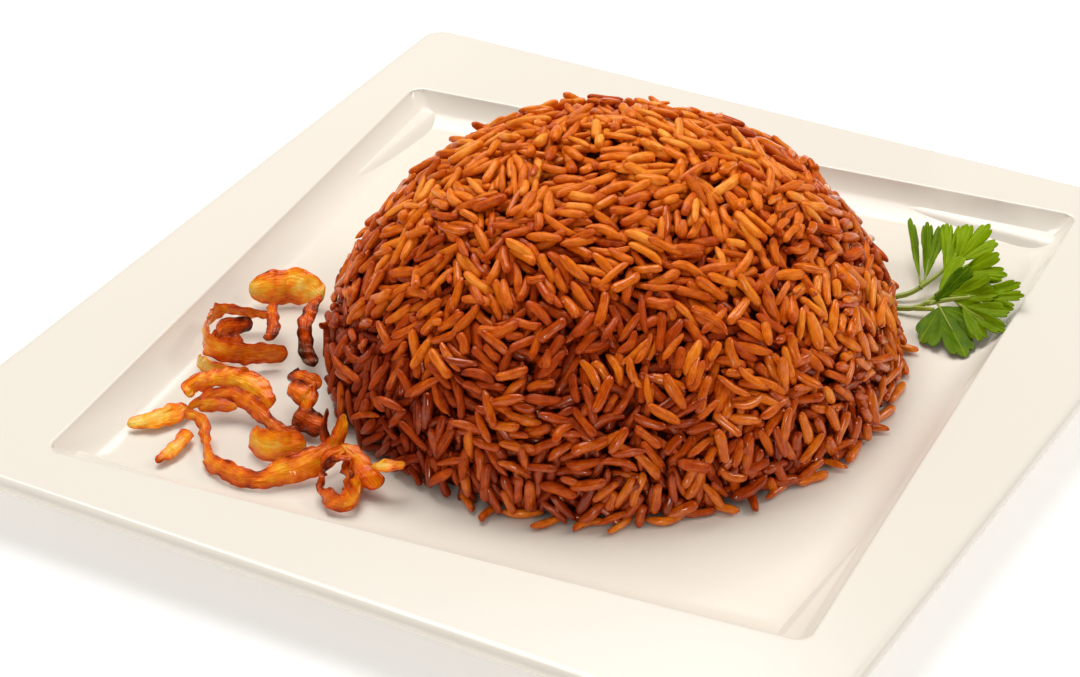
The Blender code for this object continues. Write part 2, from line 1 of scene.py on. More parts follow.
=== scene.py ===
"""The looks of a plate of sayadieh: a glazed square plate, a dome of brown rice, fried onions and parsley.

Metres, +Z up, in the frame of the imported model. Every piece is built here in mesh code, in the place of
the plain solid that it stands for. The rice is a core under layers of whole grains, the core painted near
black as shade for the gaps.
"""

import json
import logging
import math
import random
from dataclasses import dataclass, field
from enum import Enum
from typing import Any, Iterable, NamedTuple, Sequence

import bpy
import numpy as np
from mathutils import Matrix, Vector, noise

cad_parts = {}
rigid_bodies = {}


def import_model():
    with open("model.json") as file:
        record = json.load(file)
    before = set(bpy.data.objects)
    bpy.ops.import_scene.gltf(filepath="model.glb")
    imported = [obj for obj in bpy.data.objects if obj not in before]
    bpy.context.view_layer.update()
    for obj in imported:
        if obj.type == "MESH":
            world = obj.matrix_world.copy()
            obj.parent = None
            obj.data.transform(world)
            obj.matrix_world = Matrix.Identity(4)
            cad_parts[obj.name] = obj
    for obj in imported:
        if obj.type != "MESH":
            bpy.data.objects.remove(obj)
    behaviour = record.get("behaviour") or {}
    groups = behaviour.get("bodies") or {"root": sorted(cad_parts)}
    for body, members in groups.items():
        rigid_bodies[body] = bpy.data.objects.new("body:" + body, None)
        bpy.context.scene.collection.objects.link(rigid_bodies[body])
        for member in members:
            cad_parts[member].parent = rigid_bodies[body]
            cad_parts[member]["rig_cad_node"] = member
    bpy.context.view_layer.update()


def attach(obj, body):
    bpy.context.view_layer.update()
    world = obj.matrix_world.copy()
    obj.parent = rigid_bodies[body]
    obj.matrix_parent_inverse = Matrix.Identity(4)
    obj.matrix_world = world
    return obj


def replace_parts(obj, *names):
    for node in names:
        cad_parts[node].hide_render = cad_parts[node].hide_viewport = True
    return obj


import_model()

log = logging.getLogger("plate_of_sayadieh")

MM = 0.001
UP = Vector((0, 0, 1))
TINY = 1e-12
Colour = tuple[float, float, float]
Place = tuple[float, float, float]
Stops = tuple[tuple[float, Colour], ...]
Face = tuple[int, ...]


# Shaders.


class Link:
    """A value in a shader: an output socket on which arithmetic adds Math nodes."""

    def __init__(self, shader: "Shader", socket: bpy.types.NodeSocket) -> None:
        """Holds a socket and the shader that it belongs to."""
        self.shader = shader
        self.socket = socket

    def maths(self, operation: str, *values: Any) -> "Link":
        """The result of a Math node.

        Args:
            operation: the Math node's operation.
            values: its inputs in order, as numbers or links.

        Returns:
            The node's value.
        """
        return self.shader.node("ShaderNodeMath", {"operation": operation}, dict(enumerate(values)))

    def __add__(self, other: Any) -> "Link":
        """The sum."""
        return self.maths("ADD", self, other)

    def __radd__(self, other: Any) -> "Link":
        """The sum, with a number first."""
        return self.maths("ADD", other, self)

    def __sub__(self, other: Any) -> "Link":
        """The difference."""
        return self.maths("SUBTRACT", self, other)

    def __rsub__(self, other: Any) -> "Link":
        """The difference, with a number first."""
        return self.maths("SUBTRACT", other, self)

    def __mul__(self, other: Any) -> "Link":
        """The product."""
        return self.maths("MULTIPLY", self, other)

    def __rmul__(self, other: Any) -> "Link":
        """The product, with a number first."""
        return self.maths("MULTIPLY", other, self)

    def __abs__(self) -> "Link":
        """The value without its sign."""
        return self.maths("ABSOLUTE", self)

    def fraction(self) -> "Link":
        """What is left over the whole number below."""
        return self.maths("FRACT", self)

    def clamped(self) -> "Link":
        """The value held between 0 and 1."""
        return self.maths("MINIMUM", self.maths("MAXIMUM", self, 0.0), 1.0)

    def swing(self, size: float) -> "Link":
        """The value, which goes from 0 to 1, as a swing of this size about 0."""
        return (self - 0.5) * size

    def between(self, low: float, high: float) -> "Link":
        """How far the value is from low to high, eased and held between 0 and 1."""
        settings = {"interpolation_type": "SMOOTHSTEP"}
        return self.shader.node("ShaderNodeMapRange", settings, {0: self, 1: low, 2: high})


class Shader:
    """One material and its nodes."""

    def __init__(self, name: str) -> None:
        """Starts a material with a Principled shader.

        Args:
            name: the material's name.
        """
        self.material = bpy.data.materials.new(name)
        self.material.use_nodes = True
        self.tree = self.material.node_tree
        self.surface = self.tree.nodes["Principled BSDF"]

    def node(self, kind: str, settings: dict[str, Any], values: dict[Any, Any], output: Any = 0) -> Link:
        """Adds one node.

        Args:
            kind: the node's type.
            settings: its own settings, set before its sockets. A ramp's stops are (place, colour) pairs.
            values: a number, colour or link for each input, by the input's name or number.
            output: the name or number of the output that is wanted.

        Returns:
            That output.
        """
        made = self.tree.nodes.new(kind)
        for name, value in settings.items():
            if name == "stops":
                self.set_stops(made.color_ramp, value)
            else:
                setattr(made, name, value)
        for name, value in values.items():
            self.feed(made.inputs[name], value)
        return Link(self, made.outputs[output])

    def set_stops(self, ramp: bpy.types.ColorRamp, stops: Stops) -> None:
        """Gives a ramp its stops.

        Args:
            ramp: the ramp.
            stops: its (place, colour) pairs, in order.
        """
        while len(ramp.elements) > 1:
            ramp.elements.remove(ramp.elements[-1])
        for number, (place, colour) in enumerate(stops):
            stop = ramp.elements.new(place) if number else ramp.elements[0]
            stop.position = place
            stop.color = (*colour, 1)

    def feed(self, socket: bpy.types.NodeSocket, value: Any) -> None:
        """Links a socket, or sets it.

        Args:
            socket: the input socket.
            value: a link to link it to, or a number or colour to set it to.
        """
        if isinstance(value, Link):
            self.tree.links.new(value.socket, socket)
        elif isinstance(value, tuple) and socket.type == "RGBA":
            socket.default_value = (*value, 1)
        else:
            socket.default_value = value

    def place(self) -> Link:
        """The place on the piece, in metres."""
        return self.node("ShaderNodeTexCoord", {}, {}, "Object")

    def mark(self, name: str) -> Link:
        """A number that is kept for each point of the mesh."""
        return self.node("ShaderNodeAttribute", {"attribute_name": name}, {}, "Fac")

    def cloud(self, size: float, detail: float = 2.0, place: Link | None = None) -> Link:
        """A soft random pattern from 0 to 1.

        Args:
            size: the size of its patches, in metres or in the units of the place.
            detail: how many finer octaves it has.
            place: where it is read, or None for the place on the piece.

        Returns:
            The pattern.
        """
        values = {"Vector": place or self.place(), "Scale": 1 / size, "Detail": detail}
        return self.node("ShaderNodeTexNoise", {}, values)

    def together(self, x: Any, y: Any, z: Any) -> Link:
        """A vector of three values."""
        return self.node("ShaderNodeCombineXYZ", {}, {0: x, 1: y, 2: z})

    def mix(self, share: Any, first: Any, second: Any) -> Link:
        """Two colours mixed.

        Args:
            share: how much of the second there is.
            first: the first colour.
            second: the second colour.

        Returns:
            The mixed colour.
        """
        return self.node("ShaderNodeMix", {"data_type": "RGBA"}, {0: share, 6: first, 7: second}, 2)

    def ramp(self, value: Any, stops: Stops) -> Link:
        """A colour read off a ramp."""
        return self.node("ShaderNodeValToRGB", {"stops": stops}, {0: value})

    def bump(self, height: Link, depth: float, strength: float = 1.0) -> Link:
        """A surface direction from a height that goes from 0 to 1, for a depth in metres."""
        values = {"Strength": strength, "Distance": depth, "Height": height}
        return self.node("ShaderNodeBump", {}, values, "Normal")

    def dress(self, **values: Any) -> bpy.types.Material:
        """Sets the surface's sockets.

        Args:
            values: a number, colour or link for each socket, by its name with _ for each space.

        Returns:
            The material.
        """
        for name, value in values.items():
            self.feed(self.surface.inputs[name.replace("_", " ")], value)
        return self.material


@dataclass(frozen=True)
class Glaze:
    """White porcelain under a clear glossy glaze, a little warm, with faint unevenness, and painted light
    that makes the well's floor lighter.
    """

    name: str = "porcelain_glaze"
    colour: Colour = (0.745, 0.70, 0.62)
    pooled: Colour = (0.79, 0.735, 0.64)
    painted_light_strength: float = 0.9
    drift_size: float = 0.045
    wave_size: float = 0.02
    fine_size: float = 0.0016
    roughness: float = 0.14
    relief: float = 0.00012

    def material(self) -> bpy.types.Material:
        """Makes the finish.

        Returns:
            Its material.
        """
        shader = Shader(self.name)
        drift = shader.cloud(self.drift_size, 3)
        fine = shader.cloud(self.fine_size, 2)
        # Painted light: the well's floor, and its cove fading up to the lip, take the lighter colour.
        pooled = shader.mark("pooled") * self.painted_light_strength + drift.swing(0.25)
        wave = shader.cloud(self.wave_size, 1) * 0.85 + fine * 0.15
        return shader.dress(
            Base_Color=shader.mix(pooled.clamped(), self.colour, self.pooled),
            Roughness=self.roughness + drift * 0.05 + fine * 0.03,
            Specular_IOR_Level=0.5,
            Normal=shader.bump(wave, self.relief, 0.35),
        )


@dataclass(frozen=True)
class CookedRice:
    """Rice grains browned in onion stock: each its own tone, oilier low down on the heap."""

    name: str
    stops: Stops = (
        (0.0, (0.21, 0.014, 0.0004)),
        (0.3, (0.46, 0.053, 0.0009)),
        (0.6, (0.75, 0.172, 0.0045)),
        (1.0, (0.95, 0.42, 0.055)),
    )
    patch_size: float = 0.0022
    fine_size: float = 0.0005
    fibre_size: float = 0.625
    fibres_across: float = 2.6
    fibres_along: float = 0.7
    fibre_shift: float = 37
    dark_ends: float = 0.16
    dry_roughness: float = 0.44
    oil_gloss: float = 0.26
    oil_film: tuple[float, float, float] = (0.4, 0.9, 0.65)
    relief: float = 0.00055

    def material(self) -> bpy.types.Material:
        """Makes the finish.

        Returns:
            Its material.
        """
        shader = Shader(self.name)
        tone = shader.mark("tone")
        oil = shader.mark("oil")
        patches = shader.cloud(self.patch_size, 3)
        fine = shader.cloud(self.fine_size, 2)
        across, along = shader.mark("across") * self.fibres_across, shader.mark("along") * self.fibres_along
        fibres = shader.cloud(self.fibre_size, 2, shader.together(across, along, tone * self.fibre_shift))
        value = tone + patches.swing(0.50) + fibres.swing(0.50) - shader.mark("ends") * self.dark_ends
        value = value + fine.swing(0.12)
        least, full, film = self.oil_film
        return shader.dress(
            Base_Color=shader.ramp(value.clamped(), self.stops),
            Roughness=(self.dry_roughness - oil * self.oil_gloss + patches.swing(0.2)).clamped(),
            Specular_IOR_Level=0.42,
            Specular_Tint=(1.0, 0.62, 0.36),
            Subsurface_Weight=0.18,
            Subsurface_Radius=(1.0, 0.22, 0.05),
            Subsurface_Scale=0.0010,
            Coat_Weight=oil.between(least, full) * film,
            Coat_Roughness=0.10,
            Normal=shader.bump(fibres * 0.4 + patches * 0.4 + fine * 0.2, self.relief, 0.9),
        )


@dataclass(frozen=True)
class PaintedShadeCore:
    """What shows in the gaps between the grains: more rice, painted a deep brown near black as painted shade
    for the gaps.
    """

    name: str = "rice_under_layer"
    dark: Colour = (0.06, 0.003, 0.0002)
    light: Colour = (0.22, 0.020, 0.0008)
    patch_size: float = 0.004
    grit_size: float = 0.0018
    relief: float = 0.0006

    def material(self) -> bpy.types.Material:
        """Makes the finish.

        Returns:
            Its material.
        """
        shader = Shader(self.name)
        patches = shader.cloud(self.patch_size, 3)
        return shader.dress(
            Base_Color=shader.mix(patches.between(0.35, 0.7), self.dark, self.light),
            Roughness=0.4 + patches * 0.25,
            Specular_IOR_Level=0.2,
            Specular_Tint=(1.0, 0.5, 0.3),
            Normal=shader.bump(shader.cloud(self.grit_size, 2), self.relief, 0.8),
        )


@dataclass(frozen=True)
class FriedOnion:
    """Onion fried from pale straw through amber and red-brown to burnt, glossy with oil."""

    name: str
    stops: Stops = (
        (0.0, (0.97, 0.63, 0.12)),
        (0.18, (0.97, 0.42, 0.012)),
        (0.36, (0.93, 0.225, 0.003)),
        (0.56, (0.72, 0.085, 0.001)),
        (0.78, (0.25, 0.018, 0.001)),
        (1.0, (0.02, 0.004, 0.002)),
    )
    blotch_size: float = 0.0032
    crisp_size: float = 0.0011
    fibre_size: float = 1 / 3
    fibres_across: float = 3.2
    fibres_along: float = 0.11
    roughness: float = 0.26
    oil_film: float = 0.4
    relief: float = 0.0007

    def material(self) -> bpy.types.Material:
        """Makes the finish.

        Returns:
            Its material.
        """
        shader = Shader(self.name)
        fry = shader.mark("fry")
        across, along = shader.mark("across") * self.fibres_across, shader.mark("run") * self.fibres_along
        fibres = shader.cloud(self.fibre_size, 3, shader.together(along, across, shader.mark("strand")))
        blotch = shader.cloud(self.blotch_size, 3)
        crisp = shader.cloud(self.crisp_size, 2)
        value = fry + fibres.swing(0.55) + blotch.swing(0.75) + crisp.swing(0.12)
        return shader.dress(
            Base_Color=shader.ramp(value.clamped(), self.stops),
            Roughness=(self.roughness + blotch.swing(0.25)).clamped(),
            Specular_IOR_Level=0.5,
            Specular_Tint=(1.0, 0.62, 0.30),
            Subsurface_Weight=0.25,
            Subsurface_Radius=(1.0, 0.35, 0.08),
            Subsurface_Scale=0.0012,
            Coat_Weight=((1 - fry) * self.oil_film).clamped(),
            Coat_Roughness=0.08,
            Normal=shader.bump(fibres * 0.50 + blotch * 0.30 + crisp * 0.20, self.relief, 1.0),
        )


@dataclass(frozen=True)
class FreshLeaf:
    """A parsley leaf: fresh green, paler along its veins, each lobe with a main vein and side veins."""

    name: str = "parsley_leaf"
    deep: Colour = (0.014, 0.062, 0.0006)
    fresh: Colour = (0.195, 0.30, 0.0012)
    vein: Colour = (0.37, 0.48, 0.02)
    patch_size: float = 0.004
    fine_size: float = 0.0007
    main_width: float = 0.045
    side_width: float = 0.16
    side_slant: float = 2.6
    side_count: float = 5.0
    vein_share: float = 0.35
    relief: float = 0.00025

    def material(self) -> bpy.types.Material:
        """Makes the finish.

        Returns:
            Its material.
        """
        shader = Shader(self.name)
        reach = shader.mark("reach")
        patches = shader.cloud(self.patch_size, 3)
        fine = shader.cloud(self.fine_size, 2)
        from_middle = abs(shader.mark("turn").fraction() - 0.5)
        main = 1 - (from_middle * (reach + 0.25)).between(0.0, self.main_width)
        side_place = from_middle * self.side_slant + reach * self.side_count
        side = 1 - abs(side_place.fraction() - 0.5).between(0.0, self.side_width)
        veins = (main * 0.8 + side * 0.22 * (1 - main)).clamped()
        body = shader.mix((shader.mark("shade") + patches.swing(0.7)).clamped(), self.deep, self.fresh)
        return shader.dress(
            Base_Color=shader.mix(veins * self.vein_share, body, self.vein),
            Roughness=(0.44 + patches.swing(0.2)).clamped(),
            Specular_IOR_Level=0.16,
            Specular_Tint=(0.8, 1.0, 0.12),
            Subsurface_Weight=0.2,
            Subsurface_Radius=(0.5, 0.8, 0.05),
            Subsurface_Scale=0.0015,
            Normal=shader.bump(1 - veins * 0.6 + fine * 0.25, self.relief, 0.7),
        )


@dataclass(frozen=True)
class FreshStem:
    """A parsley stem: pale green, ribbed along its length."""

    name: str = "parsley_stem"
    light: Colour = (0.38, 0.45, 0.06)
    dark: Colour = (0.15, 0.21, 0.008)
    ribs: int = 7
    patch_size: float = 0.004
    relief: float = 0.00012

    def material(self) -> bpy.types.Material:
        """Makes the finish.

        Returns:
            Its material.
        """
        shader = Shader(self.name)
        rib = abs((shader.mark("around") * self.ribs).fraction() - 0.5) * 2
        patches = shader.cloud(self.patch_size, 2)
        share = (rib * 0.5 + patches * 0.6 - shader.mark("shade") * 0.3).clamped()
        return shader.dress(
            Base_Color=shader.mix(share, self.light, self.dark),
            Roughness=0.35 + patches * 0.15,
            Specular_IOR_Level=0.3,
            Normal=shader.bump(rib, self.relief, 0.6),
        )


@dataclass(frozen=True)
class Ground:
    """The plain pale floor of the studio."""

    name: str = "studio_floor"
    colour: Colour = (0.74, 0.735, 0.73)
    darker: float = 0.985
    drift_size: float = 0.4
    glow: float = 0.36

    def material(self) -> bpy.types.Material:
        """Makes the finish.

        Returns:
            Its material.
        """
        shader = Shader(self.name)
        near = tuple(self.darker * share for share in self.colour)
        return shader.dress(
            Base_Color=shader.mix(shader.cloud(self.drift_size, 2), self.colour, near),
            Roughness=0.9,
            Specular_IOR_Level=0.1,
            Emission_Color=(1.0, 0.97, 0.95),
            Emission_Strength=self.glow,
        )


# Meshes.


class Slot(Enum):
    """The record's material slots."""

    PORCELAIN = "porcelain"
    RICE = "rice"
    STRAW = "onion_straw"
    AMBER = "onion_amber"
    ORANGE = "onion_orange"
    RUST = "onion_rust"
    BURNT = "onion_burnt"
    PARSLEY = "parsley"


@dataclass
class Build:
    """The points, faces and marks that are gathered for one mesh."""

    points: list[np.ndarray] = field(default_factory=list)
    faces: list[Face] = field(default_factory=list)
    marks: dict[str, list[np.ndarray]] = field(default_factory=dict)
    count: int = 0

    def add(self, points: np.ndarray, faces: Iterable[Iterable[int]], **marks: np.ndarray) -> None:
        """Adds some points and faces.

        Args:
            points: the places, one a row.
            faces: the corners of each face, as numbers into these points.
            marks: a number for each point, by name.
        """
        start = self.count
        self.points.append(points)
        self.faces.extend(tuple(int(corner) + start for corner in face) for face in faces)
        for name, values in marks.items():
            self.marks.setdefault(name, []).append(np.broadcast_to(values, len(points)))
        self.count += len(points)

    def piece(self, name: str, finish: bpy.types.Material, slot: Slot, sharp: float = 180
              ) -> bpy.types.Object:
        """Makes the piece, which moves with the whole.

        Args:
            name: the piece's name.
            finish: its material.
            slot: the record's slot for its finish; not used.
            sharp: the angle in degrees over which an edge shows as sharp.

        Returns:
            The piece.
        """
        mesh = bpy.data.meshes.new(name)
        mesh.from_pydata(np.concatenate(self.points).tolist(), [], self.faces)
        for mark, values in self.marks.items():
            kept = mesh.attributes.new(mark, "FLOAT", "POINT")
            kept.data.foreach_set("value", np.concatenate(values).astype(np.float32))
        mesh.materials.append(finish)
        mesh.shade_smooth()
        if sharp < 180:
            mesh.set_sharp_from_angle(angle=math.radians(sharp))
        made = placed(name, mesh)
        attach(made, "root")
        log.info("%s: %d points, %d faces", name, self.count, len(self.faces))
        return made


def band_faces(rings: int, around: int, closed: bool = False) -> list[Face]:
    """The faces between rings of points.

    Args:
        rings: how many rings there are.
        around: how many points each has.
        closed: whether the last ring joins the first.

    Returns:
        The corners of each face, for points in the order of the rings.
    """
    faces = []
    for ring in range(rings if closed else rings - 1):
        here, there = ring * around, (ring + 1) % rings * around
        for i in range(around):
            j = (i + 1) % around
            faces.append((here + i, here + j, there + j, there + i))
    return faces


def placed(name: str, data: bpy.types.ID) -> bpy.types.Object:
    """An object in the scene.

    Args:
        name: its name.
        data: the mesh, curve, light or camera that it shows.

    Returns:
        The object.
    """
    made = bpy.data.objects.new(name, data)
    bpy.context.scene.collection.objects.link(made)
    return made


def tube_faces(rings: int, around: int, closed: bool = False) -> list[Face]:
    """The faces of a tube: those between its rings, and one over each of its ends.

    Args:
        rings: how many rings there are.
        around: how many points each has.
        closed: whether the last ring joins the first, which leaves no ends.

    Returns:
        The corners of each face.
    """
    faces = band_faces(rings, around, closed)
    if not closed:
        faces += [tuple(reversed(range(around))), tuple(range((rings - 1) * around, rings * around))]
    return faces


def unit(rows: np.ndarray) -> np.ndarray:
    """Vectors, along the last axis, each made one unit long."""
    return rows / (np.linalg.norm(rows, axis=-1)[..., None] + TINY)


def swept(route: list[tuple[Sequence[float], float]], around: int, closed: bool = False, roll: float = 0.0,
          **settings: Any) -> np.ndarray:
    """A section swept along a smooth route.

    Args:
        route: the places on the route, each with the size of the section there.
        around: how many points the section has.
        closed: whether the route joins up with its start.
        roll: how far the section is turned about the route, in radians.
        settings: the curve's own settings, its section among them.

    Returns:
        The points, by ring and by place round the ring.
    """
    path = bpy.data.curves.new("path", "CURVE")
    path.dimensions = "3D"
    for name, value in settings.items():
        setattr(path, name, value)
    spline = path.splines.new("BEZIER")
    spline.use_cyclic_u = closed
    spline.bezier_points.add(len(route) - 1)
    for point, (place, size) in zip(spline.bezier_points, route):
        point.co = place
        point.handle_left_type = point.handle_right_type = "AUTO"
        point.tilt = roll
        point.radius = size
    thing = placed("path", path)
    graph = bpy.context.evaluated_depsgraph_get()
    mesh = bpy.data.meshes.new_from_object(thing.evaluated_get(graph))
    places = np.empty(len(mesh.vertices) * 3)
    mesh.vertices.foreach_get("co", places)
    bpy.data.meshes.remove(mesh)
    bpy.data.curves.remove(path)
    return places.reshape(-1, around, 3)


# Plate.


class Ring(NamedTuple):
    """A level square of the plate: its side, corner radius, turn, height and how much painted light lightens
    the glaze there.
    """

    side: float
    corner: float
    turn: float
    height: float
    pooled: float = 0.0


@dataclass
class Plate:
    """A ten inch square porcelain plate, its square well turned a little within the outline."""

    side: float = 0.250
    height: float = 0.016
    corner: float = 0.006
    rim_thickness: float = 0.0045
    well_side: float = 0.200
    well_depth: float = 0.007
    well_corner: float = 0.0035
    well_turn: float = math.radians(5.6)
    cove_angle: float = math.radians(60)
    lip_radius: float = 0.0008
    floor_thickness: float = 0.006
    foot_side: float = 0.173
    foot_width: float = 0.004
    foot_corner: float = 0.010
    foot_flare: float = 0.012
    foot_ease: float = 0.001
    support: float = 0.0006
    middle_inset: float = 0.03
    crease: float = 40
    corner_steps: int = 9
    cove_steps: int = 14
    lip_steps: int = 6
    edge_steps: int = 18
    glaze: Glaze = Glaze()

    @property
    def floor(self) -> float:
        """The height of the well's floor."""
        return self.height - self.well_depth

    def well_rings(self) -> list[Ring]:
        """The rings of the well.

        Returns:
            The rings, from its floor up its wall and over its lip.
        """
        radius = self.well_depth / (1 - math.cos(self.cove_angle))
        width = radius * math.sin(self.cove_angle)
        lip = self.lip_radius * math.tan(self.cove_angle / 2)
        flat = self.well_side - 2 * (width + self.support)
        rings = [
            Ring(flat - self.middle_inset, self.well_corner, self.well_turn, self.floor, 1),
            Ring(flat, self.well_corner, self.well_turn, self.floor, 1),
        ]
        for step in range(self.cove_steps + 1):
            angle = (self.cove_angle - lip / radius) * step / self.cove_steps
            side = self.well_side - 2 * (width - radius * math.sin(angle))
            height = self.floor + radius * (1 - math.cos(angle))
            # The painted light fades out up the cove.
            pooled = 1 - step / self.cove_steps
            rings.append(Ring(side, self.well_corner, self.well_turn, height, pooled))
        for step in range(1, self.lip_steps + 1):
            angle = self.cove_angle * (1 - step / self.lip_steps)
            side = self.well_side + 2 * (lip - self.lip_radius * math.sin(angle))
            height = self.height - self.lip_radius * (1 - math.cos(angle))
            rings.append(Ring(side, self.well_corner + lip, self.well_turn, height))
        side = rings[-1].side + 2 * self.support
        return rings + [Ring(side, self.well_corner + lip, self.well_turn, self.height)]

    def rim_rings(self) -> list[Ring]:
        """The rings of the rim's outer edge.

        Returns:
            The rings, from its top round to its underside.
        """
        edge = self.rim_thickness / 2
        rings = [Ring(self.side - 2 * edge - 2 * self.support, self.corner, 0, self.height)]
        for step in range(self.edge_steps + 1):
            angle = math.pi * step / self.edge_steps
            side = self.side - 2 * edge * (1 - math.sin(angle))
            rings.append(Ring(side, self.corner, 0, self.height - edge * (1 - math.cos(angle))))
        return rings

    def foot_rings(self) -> list[Ring]:
        """The rings of the underside, its edges eased.

        Returns:
            The rings, in to the foot, round it and up to the middle.
        """
        under_rim = self.height - self.rim_thickness
        under_floor = self.floor - self.floor_thickness
        ease = self.foot_ease
        inner = self.foot_side - 2 * self.foot_width
        heights = (
            (self.well_side + 2 * ease, under_rim),
            (self.well_side, under_rim - ease * 0.4),
            (self.well_side - ease * 2, under_rim - ease * 1.4),
            (self.foot_side + self.foot_flare, under_floor + 2 * ease),
            (self.foot_side + self.foot_flare / 2, under_floor + ease),
            (self.foot_side + ease * 2, ease * 1.6),
            (self.foot_side + ease, ease * 0.7),
            (self.foot_side + ease * 0.4, ease * 0.2),
            (self.foot_side, 0),
            (inner, 0),
            (inner - ease * 0.6, ease * 0.3),
            (inner - ease * 1.6, under_floor - ease * 0.6),
            (inner - ease * 2.6, under_floor - ease * 0.1),
            (inner - ease * 5, under_floor),
        )
        return [Ring(side, self.foot_corner, 0, height) for side, height in heights]

    def ring_points(self, ring: Ring) -> np.ndarray:
        """The points of one ring.

        Args:
            ring: the ring.

        Returns:
            Its points, counter-clockwise from above.
        """
        reach = ring.side / 2 - ring.corner
        points = []
        for quarter in range(4):
            middle = Matrix.Rotation(quarter * math.pi / 2, 2) @ Vector((reach, reach))
            for step in range(self.corner_steps + 1):
                angle = (quarter + step / self.corner_steps) * math.pi / 2
                flat = middle + ring.corner * Vector((math.cos(angle), math.sin(angle)))
                flat.rotate(Matrix.Rotation(ring.turn, 2))
                points.append((flat.x, flat.y, ring.height))
        return np.array(points)

    def build(self) -> bpy.types.Object:
        """Makes the plate in place of its solid.

        Returns:
            The plate.
        """
        rings = self.well_rings() + self.rim_rings() + self.foot_rings()
        around = 4 * (self.corner_steps + 1)
        build = Build()
        points = np.concatenate([self.ring_points(ring) for ring in rings])
        pooled = np.repeat([ring.pooled for ring in rings], around)
        build.add(points, [face[::-1] for face in band_faces(len(rings), around)], pooled=pooled)
        for ring, number, turned in ((rings[0], 0, False), (rings[-1], len(rings) - 1, True)):
            hub = build.count
            build.add(np.array([(0, 0, ring.height)]), [], pooled=np.array([ring.pooled]))
            for i in range(around):
                corners = (number * around + i, number * around + (i + 1) % around, hub)
                build.faces.append(corners[::-1] if turned else corners)
        made = build.piece("plate_glazed", self.glaze.material(), Slot.PORCELAIN, self.crease)
        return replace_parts(made, "plate")


# Rice.


FRONT = Vector((-0.12, -0.99, 0))
CORNER = Vector((-0.70, -0.71, 0))
SHADE_SPOT = Vector((0.18, -0.63, 0.75))
ONION_SIDE = Vector((-0.85, -0.53, 0))


def swirl(place: Vector) -> Vector:
    """A smooth field of vectors, made of noise at three places far apart, the same on every run."""
    return Vector([noise.noise(place + Vector((shift, shift, 0))) for shift in (0.0, 17.3, 41.9)])


class Crowd:
    """Places that are taken, kept in a grid of cells so that a free spot is found fast."""

    def __init__(self, spacing: float) -> None:
        """Starts with nothing taken, for a least distance between places."""
        self.spacing = spacing
        self.cells: dict[tuple[int, int, int], list[Vector]] = {}

    def cell(self, place: Vector) -> tuple[int, int, int]:
        """The cell that a place is in."""
        return tuple(math.floor(part / self.spacing) for part in place)

    def free(self, places: Iterable[Vector]) -> bool:
        """Whether some places are free.

        Args:
            places: the places.

        Returns:
            Whether they are all far enough from what is taken.
        """
        limit = self.spacing**2
        for place in places:
            x, y, z = self.cell(place)
            for i in (x - 1, x, x + 1):
                for j in (y - 1, y, y + 1):
                    for k in (z - 1, z, z + 1):
                        for other in self.cells.get((i, j, k), ()):
                            if (place - other).length_squared < limit:
                                return False
        return True

    def take(self, places: Iterable[Vector]) -> None:
        """Marks these places as taken."""
        for place in places:
            self.cells.setdefault(self.cell(place), []).append(place)


class GrainForm(NamedTuple):
    """A kind of grain: how blunt its ends are, their ease, its flatness, bend and width as shares."""

    blunt: float
    ease: float
    flatness: float
    bend: float
    girth: float


class GrainKind(Enum):
    """The kinds of rice grain, with their forms."""

    SLIM = GrainForm(3.0, 2.0, 0.84, 0.05, 0.84)
    LONG = GrainForm(3.9, 2.2, 0.86, 0.05, 0.98)
    PLUMP = GrainForm(4.6, 2.3, 0.90, 0.03, 1.12)
    BENT = GrainForm(3.8, 2.1, 0.84, 0.17, 0.95)
    CUT = GrainForm(8.5, 2.5, 0.86, 0.04, 1.0)
    BROKEN = GrainForm(6.5, 2.6, 0.88, 0.02, 0.95)


@dataclass
class Grain:
    """Where one grain lies, its size, and how it looks."""

    middle: Vector
    along: Vector
    up: Vector
    length: float
    width: float
    kind: GrainKind
    tone: float
    oil: float
    bend: float


